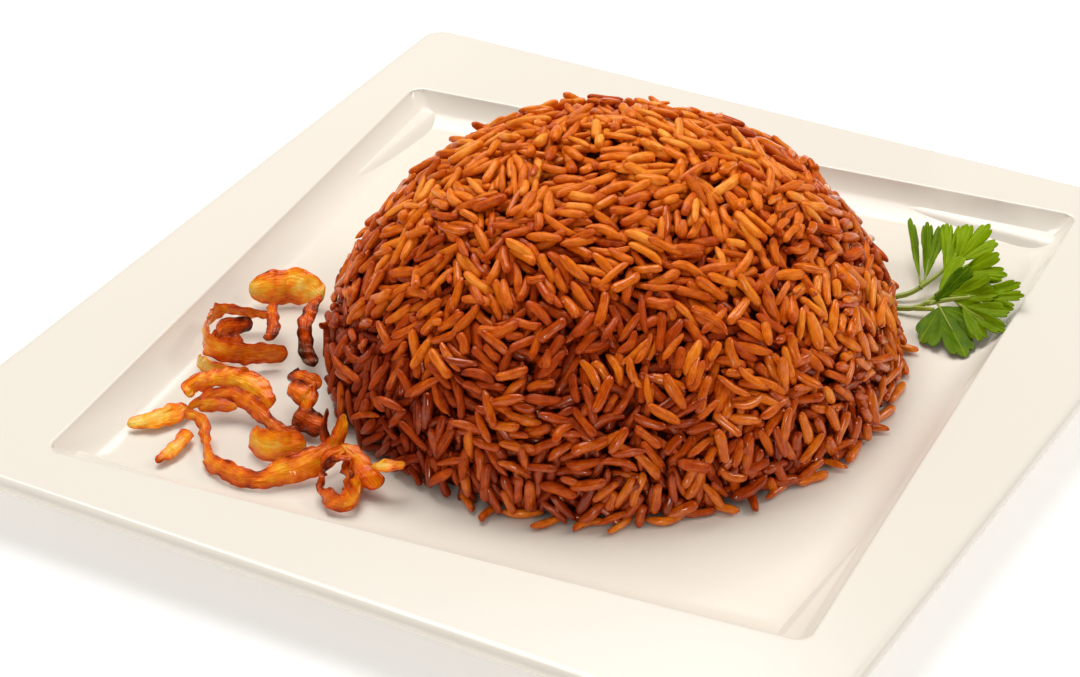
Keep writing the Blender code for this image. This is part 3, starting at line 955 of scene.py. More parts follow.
@dataclass(frozen=True)
class GrainShape:
    """The shape of the grains, each uneven in its own way, in shares of its length and width."""

    end_blunt: tuple[float, float] = (0.65, 1.3)
    waist: float = 0.08
    waves: tuple[float, float] = (2, 5)
    ridges: tuple[float, float] = (0.03, 0.12)
    ridge_twist: float = 0.7
    sway: float = 0.06
    sways: tuple[float, float] = (2, 4)
    end_slant: float = 0.03
    sides: int = 8
    stations: tuple[float, ...] = (-0.985, -0.9, -0.7, -0.35, 0.0, 0.35, 0.7, 0.9, 0.985)

    def forms(self, kind: GrainKind, count: int, seed: int) -> np.ndarray:
        """Each grain's own form, one unit long and wide: uneven, ridged along its length.

        Args:
            kind: the kind of grain.
            count: how many grains there are of that kind.
            seed: the seed of the heap.

        Returns:
            The places (across, up, along) by grain and point: an end, the rings, and the other end.
        """
        dice = np.random.default_rng(seed + len(kind.name))

        def chance(low: float, high: float) -> np.ndarray:
            """A number for each grain."""
            return dice.uniform(low, high, (count, 1, 1))

        full_turn = 2 * math.pi
        station = np.array(self.stations)[None, :, None]
        angle = full_turn * np.arange(self.sides)[None, None] / self.sides + chance(0, full_turn)
        power = kind.value.blunt * np.where(station < 0, chance(*self.end_blunt), chance(*self.end_blunt))
        size = (1 - np.abs(station) ** power) ** (1 / kind.value.ease) / 2
        size = size * (1 + self.waist * np.sin(station * chance(*self.waves) + chance(0, full_turn)))
        depth = chance(*self.ridges)
        size = size * (1 + depth * np.cos(3 * angle + station * chance(-self.ridge_twist, self.ridge_twist)))
        sway = self.sway * np.sin(station * chance(*self.sways) + chance(0, full_turn))
        across = np.cos(angle) * size + sway
        up = np.sin(angle) * size * kind.value.flatness
        along = station / 2 + self.end_slant * np.cos(angle) * np.sign(station) * chance(-1, 1)
        ends = np.zeros((count, 1, 3))
        ends[..., 0] = across.mean((1, 2))[:, None]
        first, last = ends.copy(), ends.copy()
        first[..., 2], last[..., 2] = -0.5, 0.5
        rings = np.stack([across, up, along], axis=3).reshape(count, -1, 3)
        return np.concatenate([first, rings, last], axis=1)

    def skin(self) -> list[Face]:
        """The faces of one grain: a fan at each end, and those between its rings.

        Returns:
            The corners of each face.
        """
        last = len(self.stations) * self.sides + 1
        faces: list[Face] = []
        for i in range(self.sides):
            j = (i + 1) % self.sides
            faces.append((0, 1 + j, 1 + i))
            faces.append((last, last - self.sides + i, last - self.sides + j))
        bands = band_faces(len(self.stations), self.sides)
        return faces + [tuple(1 + corner for corner in face) for face in bands]


@dataclass(frozen=True)
class Browning:
    """How browned and how oily the grains are: paler and drier high up, and each grain its own.

    The tone goes from deep (0) to pale (1). Less of it is left as painted shade on the front, low down,
    at the corner towards the onions and at a spot high on the front; less at the right; and, as painted
    shade for the gaps, deep under the outermost layer.
    The oil goes from none (0) to full (1).
    """

    tone: float = 0.49
    paler_top: float = 0.13
    patches: float = 0.22
    patch_size: float = 0.013
    front_shade: float = 0.22
    corner: float = 0.32
    shade_spot: float = 0.18
    shade_spot_spread: float = 0.11
    deeper_right: float = 0.05
    tone_spread: float = 0.08
    deepest: float = 0.02
    gap_shade_foot: float = 0.46
    gap_shade_top: float = 0.10
    oil: float = 0.98
    drained: float = 0.70
    drier: float = 0.75
    oil_spread: float = 0.18

    def tone_at(self, place: Vector, up: Vector, rise: float, draw: random.Random) -> float:
        """A grain's tone in the outermost layer.

        Args:
            place: the grain's middle.
            up: the direction out of the heap there.
            rise: how high it is in the dome, from 0 to 1.
            draw: what draws the grain's own share.

        Returns:
            The tone.
        """
        patch = noise.noise(place / self.patch_size + Vector((5, 5, 1)))
        # Painted shade: the front of the dome is darker, most of all low down.
        front_shade = max(FRONT.dot(up), 0) ** 1.2 * max(1 - rise, 0) ** 0.3
        # Painted shade: low on the dome at the corner towards the onions, under their overhang.
        corner = max(CORNER.dot(up), 0) ** 3 * max(1 - rise * 1.4, 0)
        # Painted shade: a soft spot high on the front of the dome.
        in_shade_spot = math.exp(-(up - SHADE_SPOT).length_squared / self.shade_spot_spread)
        tone = self.tone + self.paler_top * rise + self.patches * patch
        tone -= self.front_shade * front_shade + self.corner * corner + self.shade_spot * in_shade_spot
        tone -= self.deeper_right * max(up.x, 0)
        return min(max(tone + draw.gauss(0, self.tone_spread), self.deepest), 1)

    def darker(self, rise: float) -> float:
        """How much tone the innermost layer has lost, as painted shade for the gaps, at a rise in the dome.
        """
        return self.gap_shade_foot - (self.gap_shade_foot - self.gap_shade_top) * rise

    def oil_at(self, up: Vector, rise: float, draw: random.Random) -> float:
        """A grain's oil, which drains to the foot, less so beside the onions.

        Args:
            up: the direction out of the heap there.
            rise: how high it is in the dome, from 0 to 1.
            draw: what draws the grain's own share.

        Returns:
            The oil.
        """
        drier = max(ONION_SIDE.dot(up), 0) ** 2 * max(1 - rise, 0)
        oil = self.oil - self.drained * rise - self.drier * drier
        return min(max(oil + draw.gauss(0, self.oil_spread), 0), 1)


@dataclass
class RiceHeap:
    """The dome of brown rice: a core, four layers of whole grains, and loose grains round its foot.

    A layer is its height over the smooth dome in millimetres, the least distance between grains as a
    share of their width, and how many are tried. The lengths are shares of a whole grain's length,
    each with its share of the tries. Grains stand proud, and reach out from the foot, by millimetres.
    No loose grains lie between the angles, in degrees, where other food lies.
    """

    floor: float
    centre: Vector = field(default_factory=lambda: Vector((0.0086, -0.0003, 0)))
    radius: float = 0.0737
    height: float = 0.0637
    gap: float = 0.0003
    lump_size: float = 0.022
    lump_height: float = 0.0012
    grain_length: float = 0.0090
    grain_width: float = 0.0024
    uneven: tuple[float, float] = (0.88, 1.12)
    clump_size: float = 0.0085
    clump_height: float = 0.0011
    layers: tuple[tuple[float, float, int], ...] = (
        (-0.5, 0.92, 12000), (-1.7, 0.84, 22000), (-2.9, 0.80, 20000), (-4.1, 0.80, 14000),
    )
    lengths: tuple[tuple[float, float], ...] = ((1.0, 0.40), (0.84, 0.3), (0.6, 0.3))
    broken_under: float = 0.7
    kind_shares: tuple[int, ...] = (3, 4, 3, 2, 3)
    spread: float = 0.30
    crossing: float = 0.3
    bundle_size: float = 0.0125
    tilt: float = 0.17
    depth_spread: float = 0.25
    lowest: float = 0.45
    proud_count: int = 150
    proud_tilt: float = 0.3
    proud_rises: tuple[float, float] = (0.12, 0.86)
    proud_heights: tuple[float, float] = (-0.3, 0.5)
    foot_grains: int = 120
    foot_spacing: float = 0.8
    foot_uneven: float = 0.4
    foot_reach: tuple[float, float] = (-2.0, 0.6)
    foot_depth: float = 0.1
    foot_turn: float = 0.7
    foot_lying: float = 0.44
    core_depth: float = 0.0060
    core_rows: int = 44
    core_around: int = 150
    bump_size: float = 0.0021
    bump_height: float = 0.7
    browning: Browning = Browning()
    shape: GrainShape = GrainShape()
    seed: int = 21
    clear_of_food: tuple[tuple[float, float], ...] = ((178, 268), (40, 60))
    draw: random.Random = field(init=False)
    grains: list[Grain] = field(default_factory=list)

    def __post_init__(self) -> None:
        """Starts the seeded draw."""
        self.draw = random.Random(self.seed)

    def outward(self, direction: Vector) -> Vector:
        """The direction straight out of the dome where a direction from its centre meets it."""
        x, y, z = direction
        return Vector((x / self.radius, y / self.radius, z / self.height)).normalized()

    def spot(self, direction: Vector, height: float) -> Vector:
        """A place on the lumpy dome.

        Args:
            direction: the direction from its centre.
            height: how high over the dome, in metres.

        Returns:
            The place.
        """
        x, y, z = direction
        reach = Vector((x * self.radius, y * self.radius, z * self.height))
        lump = self.lump_height * noise.noise(reach / self.lump_size)
        clump = self.clump_height * (noise.noise(reach / self.clump_size + Vector((4, 8, 2))) - 0.15)
        point = reach + self.outward(direction) * (height + lump + clump)
        return self.centre + Vector((point.x, point.y, point.z + self.floor + self.gap))

    def any_direction(self) -> Vector:
        """A direction drawn evenly from the upper half."""
        return self.direction(self.draw.uniform(0, 2 * math.pi), self.draw.uniform(0, 1))

    def direction(self, turn: float, rise: float) -> Vector:
        """The direction at a turn round the centre, in radians, and a rise from 0 to 1."""
        ring = math.sqrt(1 - rise * rise)
        return Vector((ring * math.cos(turn), ring * math.sin(turn), rise))

    def heading(self, direction: Vector, up: Vector) -> Vector:
        """The way that a grain lies: with its bundle, or across it.

        Args:
            direction: the direction from the dome's centre.
            up: the direction out of the heap there.

        Returns:
            The direction of its length, level with the heap.
        """
        nearly_up = 0.999
        east = UP.cross(up) if up.z < nearly_up else Vector((1, 0, 0))
        place = direction * self.radius / self.bundle_size
        bundle = noise.cell(place + swirl(place * 0.9) * 0.7)
        angle = bundle * math.pi + self.draw.gauss(0, self.spread)
        if self.draw.random() < self.crossing:
            angle = self.draw.uniform(0, math.pi)
        return Matrix.Rotation(angle, 3, up) @ east.normalized()

    def rise(self, place: Vector) -> float:
        """How high a place is in the dome, from 0 at its foot to 1 at its top."""
        return (place.z - self.floor) / self.height

    def new_grain(self, middle: Vector, along: Vector, up: Vector, share: float, sunk: float) -> Grain:
        """One grain at a place.

        Args:
            middle: its middle.
            along: the direction of its length.
            up: the direction out of the heap.
            share: its length as a share of a whole grain's.
            sunk: how deep its layer is, from 0 to 1, which makes it darker with painted shade for the gaps,
                above all low down.

        Returns:
            The grain.
        """
        draw = self.draw
        broken = share < self.broken_under
        kind = GrainKind.BROKEN if broken else draw.choices(list(GrainKind)[:-1], self.kind_shares)[0]
        look, rise = self.browning, self.rise(middle)
        return Grain(
            middle=middle,
            along=along,
            up=up,
            length=self.grain_length * share * draw.uniform(*self.uneven),
            width=self.grain_width * kind.value.girth * draw.uniform(*self.uneven),
            kind=kind,
            tone=max(look.tone_at(middle, up, rise, draw) - look.darker(rise) * sunk, 0.0),
            oil=look.oil_at(up, rise, draw),
            bend=draw.uniform(-1, 1),
        )

    def samples(self, middle: Vector, along: Vector, length: float) -> list[Vector]:
        """Five places along a grain's ridge."""
        half = (length - self.grain_width) / 2
        return [middle + along * half * share for share in (-1, -0.5, 0, 0.5, 1)]

    def lay_layer(self, number: int) -> None:
        """Lays the grains of one layer, the long ones first, each clear of the others.

        Args:
            number: the layer's number, from the outermost in.
        """
        height, spacing, tries = self.layers[number]
        crowd = Crowd(self.grain_width * spacing)
        # Deeper layers are painted darker, as shade for the gaps.
        sunk = number / (len(self.layers) - 1)
        draw = self.draw
        lowest = self.floor + self.gap + self.grain_width * self.lowest
        for share, part in self.lengths:
            for _ in range(int(tries * part)):
                direction = self.any_direction()
                up = self.outward(direction)
                along = self.heading(direction, up)
                along = (along + up * draw.gauss(0, self.tilt)).normalized()
                middle = self.spot(direction, height * MM + draw.gauss(0, self.depth_spread) * MM)
                places = self.samples(middle, along, self.grain_length * share)
                if min(place.z for place in places) < lowest or not crowd.free(places):
                    continue
                crowd.take(places)
                self.grains.append(self.new_grain(middle, along, up, share, sunk))

    def lay_proud(self) -> None:
        """Lays single grains that stand out of the skin, spread evenly by the golden angle."""
        golden = math.pi * (3 - math.sqrt(5))
        lowest, reach = self.proud_rises
        for number in range(self.proud_count):
            direction = self.direction(number * golden, lowest + reach * (number + 0.5) / self.proud_count)
            up = self.outward(direction)
            along = self.heading(direction, up) + up * self.draw.gauss(0, self.proud_tilt)
            middle = self.spot(direction, self.draw.uniform(*self.proud_heights) * MM)
            self.grains.append(self.new_grain(middle, along.normalized(), up, 1, 0))

    def lay_foot(self) -> None:
        """Lays loose grains on the plate round the dome's foot, apart from where other food lies."""
        crowd = Crowd(self.grain_width * self.foot_spacing)
        for number in range(self.foot_grains):
            shift = self.draw.uniform(-self.foot_uneven, self.foot_uneven)
            degrees = (360 * (number + shift) / self.foot_grains) % 360
            if any(low < degrees < high for low, high in self.clear_of_food):
                continue
            angle = math.radians(degrees)
            outward = Vector((math.cos(angle), math.sin(angle), 0))
            along = Matrix.Rotation(math.pi / 2 + self.draw.gauss(0, self.foot_turn), 3, "Z") @ outward
            middle = self.centre + outward * (self.radius + self.draw.uniform(*self.foot_reach) * MM)
            middle.z = self.floor + self.gap + self.grain_width * self.foot_lying
            places = self.samples(middle, along, self.grain_length)
            if crowd.free(places):
                crowd.take(places)
                # Loose grains at the foot take a little of the painted shade for the gaps.
                self.grains.append(self.new_grain(middle, along, UP, 1, self.foot_depth))

    def kind_piece(self, kind: GrainKind) -> bpy.types.Object:
        """Makes every grain of one kind.

        Args:
            kind: the kind.

        Returns:
            The grains as one piece.
        """
        grains = [grain for grain in self.grains if grain.kind is kind]

        def each(name: str) -> np.ndarray:
            """One property of every grain, a row for each."""
            return np.array([getattr(grain, name) for grain in grains]).reshape(len(grains), -1)

        form, length, width = self.shape.forms(kind, len(grains), self.seed), each("length"), each("width")
        along = each("along")
        across = unit(np.cross(each("up"), along))
        lift = np.cross(along, across)
        station = form[..., 2] * 2
        x = form[..., 0] * width + each("bend") * kind.value.bend * length * (station**2 - 0.35)
        y = form[..., 1] * width
        z = form[..., 2] * length
        points = each("middle")[:, None] + x[..., None] * across[:, None] + y[..., None] * lift[:, None]
        points = points + z[..., None] * along[:, None]
        points[..., 2] = np.maximum(points[..., 2], self.floor + self.gap / 3)
        size, faces = form.shape[1], self.shape.skin()
        build = Build()
        build.add(
            points.reshape(-1, 3),
            [[number * size + corner for corner in face] for number in range(len(grains)) for face in faces],
            tone=np.repeat(each("tone"), size),
            oil=np.repeat(each("oil"), size),
            ends=np.abs(station.reshape(-1)) ** 4,
            along=station.reshape(-1),
            across=form[..., 0].reshape(-1) * 2,
        )
        name = f"rice_grains_{kind.name.lower()}"
        return build.piece(name, CookedRice(name).material(), Slot.RICE)

    def core_piece(self) -> bpy.types.Object:
        """Makes the core: the dome a little smaller, with bumps the size of grains, closed at its foot.

        Returns:
            The core.
        """
        rows, around = self.core_rows, self.core_around
        points = []
        for row in range(rows):
            for i in range(around):
                turn = 2 * math.pi * (i + 0.5 * (row % 2)) / around
                direction = self.direction(turn, math.sin(math.pi / 2 * row / rows))
                bump = noise.noise(self.spot(direction, 0) / self.bump_size) * self.bump_height * MM
                place = self.spot(direction, bump - self.core_depth)
                place.z = max(place.z, self.floor + self.gap)
                points.append(tuple(place))
        top = len(points)
        points.append(tuple(self.spot(UP, -self.core_depth)))
        faces = band_faces(rows, around)
        faces += [(top - around + i, top - around + (i + 1) % around, top) for i in range(around)]
        faces.append(tuple(reversed(range(around))))
        build = Build()
        build.add(np.array(points), faces)
        # The core's near-black brown is painted shade for the gaps between the grains.
        return build.piece("rice_core", PaintedShadeCore().material(), Slot.RICE)

    def build(self) -> list[bpy.types.Object]:
        """Makes the heap in place of its solid.

        Returns:
            Its pieces, the core first.
        """
        for number in range(len(self.layers)):
            self.lay_layer(number)
        self.lay_proud()
        self.lay_foot()
        log.info("rice: %d grains", len(self.grains))
        made = [self.core_piece()] + [self.kind_piece(kind) for kind in GrainKind]
        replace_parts(made[0], "rice_dome")
        return made


# Onions.


class Strip(NamedTuple):
    """A fried strip: its section's width, thickness and curl, its roll from lying flat, and its route.

    Sizes are in millimetres and the roll in degrees. A place on the route is (x, y, height over the
    well's floor, share of the width, how far it is fried from 0 to 1), and a smooth curve runs through.
    The crumple is how much more than usual it is creased.
    """

    width: float
    thickness: float
    curl: float
    roll: float
    route: tuple[tuple[float, float, float, float, float], ...]
    closed: bool = False
    crumple: float = 1.0


@dataclass
class OnionStrip:
    """Builds one fried strip: a curled band with rippled edges, ridged along its fibres.

    The ripples are pairs of a size in metres and a depth in millimetres. The lip, the edge's
    thickness, the side inset and the smallest end are shares of the strip's own section.
    """

    strip: Strip
    floor: float
    number: int
    steps: int = 16
    section: int = 15
    edge: float = 0.35
    lip: float = 0.10
    side_inset: float = 0.985
    ripples: tuple[tuple[float, float], ...] = ((0.0050, 0.75), (0.0018, 0.62))
    ripples_apart: float = 3.7
    ridge: float = 0.3
    ridges: float = 4.5
    fibre_length: float = 0.007
    middle_fry: float = -0.05
    edge_fry: float = 0.32
    round_end: float = 0.0020
    smallest_end: float = 0.12
    clear: float = 0.00012

    def outline(self) -> np.ndarray:
        """The section that is swept.

        Returns:
            Rows of (across from -1 to 1, side +1 or -1, x, y), in order round it.
        """
        half = self.strip.width * MM / 2
        thin = self.strip.thickness * MM / 2
        rows = []
        for side in (-1, 1):
            for i in range(self.section):
                across = (2 * i / (self.section - 1) - 1) * -side
                thick = thin * (self.edge + (1 - self.edge) * math.sqrt(max(1 - across**2, 0)))
                if abs(across) == 1:
                    across *= self.side_inset
                curl = self.strip.curl * MM * (1 - abs(across) ** 1.6) + self.lip * half * across**6
                rows.append((across, side, across * half, curl + side * thick))
        return np.array(rows)

    def smooth(self, outline: np.ndarray) -> np.ndarray:
        """The smooth strip, before it is crumpled.

        Args:
            outline: the section.

        Returns:
            The strip's rings of points.
        """
        section = bpy.data.curves.new("section", "CURVE")
        spline = section.splines.new("POLY")
        spline.points.add(len(outline) - 1)
        for point, (_, _, x, y) in zip(spline.points, outline):
            point.co = (x, y, 0, 1)
        spline.use_cyclic_u = True
        route = [((x * MM, y * MM, self.floor + height * MM), share)
                 for x, y, height, share, _ in self.strip.route]
        rings = swept(route, len(outline), self.strip.closed, math.radians(self.strip.roll),
                      twist_mode="Z_UP", resolution_u=self.steps, bevel_mode="OBJECT",
                      bevel_object=placed("section", section))
        bpy.data.curves.remove(section)
        return rings

    def along(self, rings: np.ndarray) -> np.ndarray:
        """Each ring's distance along the strip, in metres."""
        steps = np.linalg.norm(np.diff(rings.mean(1), axis=0), axis=1)
        return np.concatenate([[0], np.cumsum(steps)])

    def fried(self, count: int) -> np.ndarray:
        """How far the strip is fried, eased from place to place on the route.

        Args:
            count: how many rings it has.

        Returns:
            A number for each ring.
        """
        values = [place[4] for place in self.strip.route]
        if self.strip.closed:
            values.append(values[0])
        return np.interp(np.linspace(0, len(values) - 1, count), np.arange(len(values)), values)

    def fullness(self, run: np.ndarray) -> np.ndarray:
        """How full the strip is, which rounds it off at its ends.

        Args:
            run: each ring's distance along the strip.

        Returns:
            A share for each ring.
        """
        share = np.ones(len(run))
        if not self.strip.closed:
            for gone in (run, run[-1] - run):
                near = np.clip(gone / self.round_end, 0, 1)
                share *= np.sqrt(near * (2 - near))
        return np.maximum(share, self.smallest_end)

    def crumple(self, place: Vector, across: float) -> tuple[float, float]:
        """How far the crumpling moves a point.

        Args:
            place: the middle of the strip there.
            across: where the point is over the strip's width, from -1 to 1.

        Returns:
            How far out and how far sideways, in millimetres.
        """
        out = side = 0.0
        for size, depth in self.ripples:
            spot = place / size + Vector((across * 0.8, self.number * self.ripples_apart, 0))
            out += depth * noise.noise(spot) * (0.4 + 0.6 * abs(across))
            side += depth * noise.noise(spot * 0.8 + Vector((9, 2, 4))) * across * across
        return out * self.strip.crumple, side * self.strip.crumple

    def rippled(self, rings: np.ndarray, outline: np.ndarray) -> np.ndarray:
        """The rings crumpled, ridged along their fibres and rounded at the strip's ends.

        Args:
            rings: the smooth strip's rings of points.
            outline: the section that was swept.

        Returns:
            The rings of the crumpled strip.
        """
        middles = rings.mean(1)
        one, other = np.argmin(outline[:, 0]), np.argmax(outline[:, 0])
        wide = unit(rings[:, other] - rings[:, one])
        out = np.cross(wide, unit(np.gradient(middles, axis=0)))
        run = self.along(rings)
        share = self.fullness(run)
        moved = middles[:, None] + (rings - middles[:, None]) * share[:, None, None]
        for i, ring in enumerate(moved):
            for j, (across, side, _, _) in enumerate(outline):
                push, slide = self.crumple(Vector(middles[i]), across)
                fibre = Vector((run[i] / self.fibre_length, across * self.ridges, self.number + side))
                push -= self.ridge * side * abs(noise.noise(fibre)) * 2
                ring[j] += (out[i] * push + wide[i] * slide) * MM * share[i]
        moved[..., 2] = np.maximum(moved[..., 2], self.floor + self.clear)
        return moved

    def add_to(self, build: Build) -> None:
        """Adds the strip to a mesh.

        Args:
            build: the mesh.
        """
        outline = self.outline()
        rings = self.smooth(outline)
        run = self.along(rings)
        rings = self.rippled(rings, outline)
        count, around = rings.shape[:2]
        fry = self.fried(count)[:, None] + self.middle_fry + self.edge_fry * outline[:, 0][None] ** 2
        build.add(
            rings.reshape(-1, 3),
            tube_faces(count, around, self.strip.closed),
            fry=fry.reshape(-1),
            across=np.tile(outline[:, 0], count),
            run=np.repeat(run / MM, around),
            strand=np.full(count * around, float(self.number)),
        )


@dataclass
class OnionPiece:
    """One fried onion piece: the strips that it is folded from."""

    node: str
    slot: Slot
    strips: tuple[Strip, ...]
    most_strips: int = 4
    crease: float = 60

    def build(self, floor: float, number: int) -> bpy.types.Object:
        """Makes the piece in place of its solid.

        Args:
            floor: the height of the well's floor.
            number: the piece's number, which makes its ripples its own.

        Returns:
            The piece.
        """
        build = Build()
        for i, strip in enumerate(self.strips):
            OnionStrip(strip, floor, number * self.most_strips + i).add_to(build)
        name = self.node.replace("onion_", "fried_onion_")
        finish = FriedOnion(name).material()
        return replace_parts(build.piece(name, finish, self.slot, self.crease), self.node)


ONIONS = (
    OnionPiece("onion_chip_back", Slot.STRAW, (
        Strip(9.5, 1.3, 2.0, 60, (
            (-90, -22, 4.3, 0.6, 0.1), (-85.5, -18.5, 4.7, 1, 0.36), (-78, -14, 4.6, 1, 0.2),
            (-70.5, -15, 3.6, 0.5, 0.1),
        )),
    )),
    OnionPiece("onion_ring_upper", Slot.ORANGE, (
        Strip(6.4, 1, 0.5, 78, (
            (-77, -30, 4.8, 0.45, 0.5), (-83.5, -33, 6.2, 0.5, 0.42), (-88, -36.5, 7, 0.55, 0.38),
            (-87, -44, 8, 0.9, 0.28), (-82.5, -51, 8.5, 0.95, 0.3), (-77, -52, 7, 1, 0.42),
            (-73, -48, 5, 1, 0.5), (-67.5, -44.5, 4.5, 0.85, 0.38), (-63.8, -42, 4, 0.6, 0.6),
        ), crumple=1.3),
        Strip(4.6, 1.2, 0.5, 72, (
            (-80, -51, 8.5, 0.77, 0.35), (-81.5, -45.5, 8.2, 1, 0.55), (-79.5, -42.5, 8, 1, 0.62),
            (-77, -38.5, 7.5, 0.95, 0.86),
        )),
        Strip(4.6, 1.1, 0.4, 60, (
            (-84.5, -46.5, 6, 0.8, 0.4), (-76, -49, 7, 1, 0.5), (-75.5, -45.5, 7, 0.9, 0.6),
        ), crumple=1.4),
    )),
    OnionPiece("onion_ribbon_pale", Slot.STRAW, (
        Strip(5.4, 0.9, 0.3, 85, (
            (-84, -53.6, 3.1, 0.8, 0.12), (-79, -55.8, 3.1, 1, 0.1), (-73, -54.8, 2.9, 0.8, 0.2),
            (-69, -51.8, 2.5, 0.6, 0.4),
        )),
    )),
    OnionPiece("onion_strip_across", Slot.RUST, (
        Strip(3.9, 1.1, 0.3, 15, (
            (-77.5, -28.5, 7.9, 0.8, 0.5), (-72, -36.5, 7.2, 1, 0.55), (-69.5, -42, 6, 1, 0.65),
        )),
    )),
    OnionPiece("onion_hook_dark", Slot.BURNT, (
        Strip(4.6, 1.5, 0.5, 15, (
            (-65.5, -23.5, 11, 0.6, 0.5), (-64.5, -29, 10.5, 0.85, 0.6), (-62.5, -35, 9, 0.85, 0.6),
            (-59.5, -39.5, 5.5, 1, 0.8), (-55, -43, 3, 0.7, 0.95),
        )),
    )),
    OnionPiece("onion_bundle", Slot.RUST, (
        Strip(4.8, 1.3, 0.8, 50, (
            (-54.5, -54.5, 7.6, 0.7, 0.98), (-48.5, -57, 9.5, 1.05, 0.55),
            (-43, -56.5, 9, 0.9, 0.5),
        ), crumple=1.5),
        Strip(6.0, 1.4, 1, 48, (
            (-51, -59, 8.3, 0.75, 0.6), (-47, -61, 8, 1, 0.48), (-42, -60.5, 6.7, 0.9, 0.5),
        ), crumple=1.7),
        Strip(6.8, 1.4, 1, 45, (
            (-46, -65, 4.6, 0.8, 0.64), (-40, -65, 3.7, 0.95, 0.74), (-36.5, -64.5, 3.3, 0.7, 0.66),
        ), crumple=1.5),
        Strip(4.6, 1.2, 0.6, 20, (
            (-48, -54, 8.5, 0.8, 0.72), (-45, -59.5, 8.6, 1, 0.42), (-42.5, -65.5, 5.2, 0.9, 0.6),
        )),
    )),
    OnionPiece("onion_curl_broad", Slot.ORANGE, (
        Strip(7, 1.2, 1.6, 45, (
            (-74, -72, 5, 0.5, 0.3), (-75, -69, 6.5, 0.58, 0.32), (-71.5, -66, 7.5, 0.67, 0.36),
            (-65.5, -63.5, 8, 0.79, 0.3), (-58, -64, 7.8, 0.96, 0.3), (-51, -66.5, 6.2, 0.8, 0.45),
        ), crumple=1.5),
        Strip(4.8, 1.2, 0.6, 60, (
            (-72, -74.5, 4, 0.53, 0.4), (-66, -67.5, 6, 0.82, 0.46), (-58.5, -67, 5.5, 0.94, 0.44),
            (-53, -69, 4.8, 0.94, 0.46), (-47, -71, 3.4, 1, 0.54), (-40.5, -70.5, 2.8, 0.76, 0.66),
        )),
        Strip(4, 1, 0.5, 50, (
            (-70.5, -72.5, 4.5, 0.93, 0.3), (-66.5, -70.5, 4.6, 1, 0.4), (-61, -68, 4.2, 0.79, 0.5),
        )),
    )),
    OnionPiece("onion_tail_yellow", Slot.STRAW, (
        Strip(5.6, 2, 0.4, 20, (
            (-83, -85.5, 2, 0.5, 0.12), (-78.5, -81.5, 2.2, 0.95, 0.08),
            (-75.5, -76.5, 2.4, 1, 0.18), (-74, -72, 2.4, 0.6, 0.36),
        )),
    )),
    OnionPiece("onion_tail_tipped", Slot.STRAW, (
        Strip(4.2, 1.6, 0.3, 15, (
            (-67, -95, 1.5, 0.44, 0.62), (-66.5, -91.5, 1.7, 0.88, 0.12),
            (-66.5, -85.5, 1.9, 1, 0.26), (-67.5, -80.5, 2.2, 0.7, 0.44),
        )),
    )),
    OnionPiece("onion_loop_front", Slot.AMBER, (
        Strip(7.4, 1.3, 0.9, 55, (
            (-71.5, -76.5, 4.4, 0.35, 0.4), (-65, -78, 4.4, 0.46, 0.42),
            (-60.5, -82.5, 3.2, 0.46, 0.45), (-56, -88, 2.7, 0.58, 0.4),
            (-48.5, -91, 2.8, 0.69, 0.42), (-40, -90.5, 2.6, 0.62, 0.48),
            (-35, -86, 3.3, 0.88, 0.3), (-31, -81.5, 4.3, 1, 0.36), (-28, -75.5, 6, 0.77, 0.42),
            (-28, -71, 9, 0.54, 0.42), (-28.5, -68, 12, 0.27, 0.3),
        )),
        Strip(2.4, 1.1, 0.2, 60, (
            (-39.5, -86, 4, 0.88, 0.5), (-35, -83, 5, 1, 0.52), (-30.5, -77.5, 7, 0.9, 0.48),
        )),
    )),
    OnionPiece("onion_band_front", Slot.AMBER, (
        Strip(8.6, 1.1, 1, 70, (
            (-51, -76.5, 4.6, 0.6, 0.42), (-46.5, -79, 4.5, 0.95, 0.26), (-41, -78.5, 4.6, 1, 0.24),
            (-36, -74.5, 4.6, 0.7, 0.4),
        )),
    )),
    OnionPiece("onion_knot", Slot.RUST, (
        Strip(5.4, 1.6, 0.5, 60, (
            (-25, -82.5, 6, 0.65, 0.5), (-24, -85.5, 4, 0.65, 0.72), (-18.5, -89.5, 3, 0.75, 0.62),
            (-15, -88.5, 3, 0.85, 0.5), (-15.5, -84, 4, 1, 0.38), (-19, -79.5, 5.5, 1, 0.38),
            (-23, -79.5, 7.5, 0.9, 0.42),
        ), closed=True, crumple=2.0),
        Strip(5.8, 1.9, 0.5, 25, (
            (-25.5, -74.5, 7.5, 0.55, 0.3), (-21, -75.5, 6.5, 0.73, 0.32), (-15, -78.5, 5, 1, 0.44),
            (-11, -80, 3, 0.91, 0.46),
        ), crumple=1.3),
        Strip(4.4, 1.6, 0.5, 40, (
            (-26, -83, 6.5, 0.62, 0.6), (-25, -80, 8, 1, 0.5), (-23, -76.5, 8, 0.94, 0.42),
        ), crumple=1.6),
        Strip(3.4, 1.4, 0.4, 50, (
            (-22.5, -78, 5.8, 0.8, 0.62), (-18.5, -81.5, 5.2, 1, 0.5),
            (-16.5, -85.5, 4.2, 0.9, 0.66),
        ), crumple=1.6),
    )),
    OnionPiece("onion_strip_yellow", Slot.STRAW, (
        Strip(3.2, 1.7, 0.2, 10, (
            (-13.5, -79.5, 7.9, 0.8, 0.24), (-9.5, -77.5, 8.4, 1, 0.18),
            (-6.5, -75, 8.6, 0.8, 0.24),
        )),
    )),
    OnionPiece("onion_strip_dark", Slot.BURNT, (
        Strip(3.4, 1.4, 0.3, 60, (
            (-36, -64.5, 9.2, 0.75, 0.7), (-35, -67.5, 6.3, 1, 0.66), (-32.5, -71, 1.8, 0.75, 0.6),
        )),
    )),
)


# Parsley.


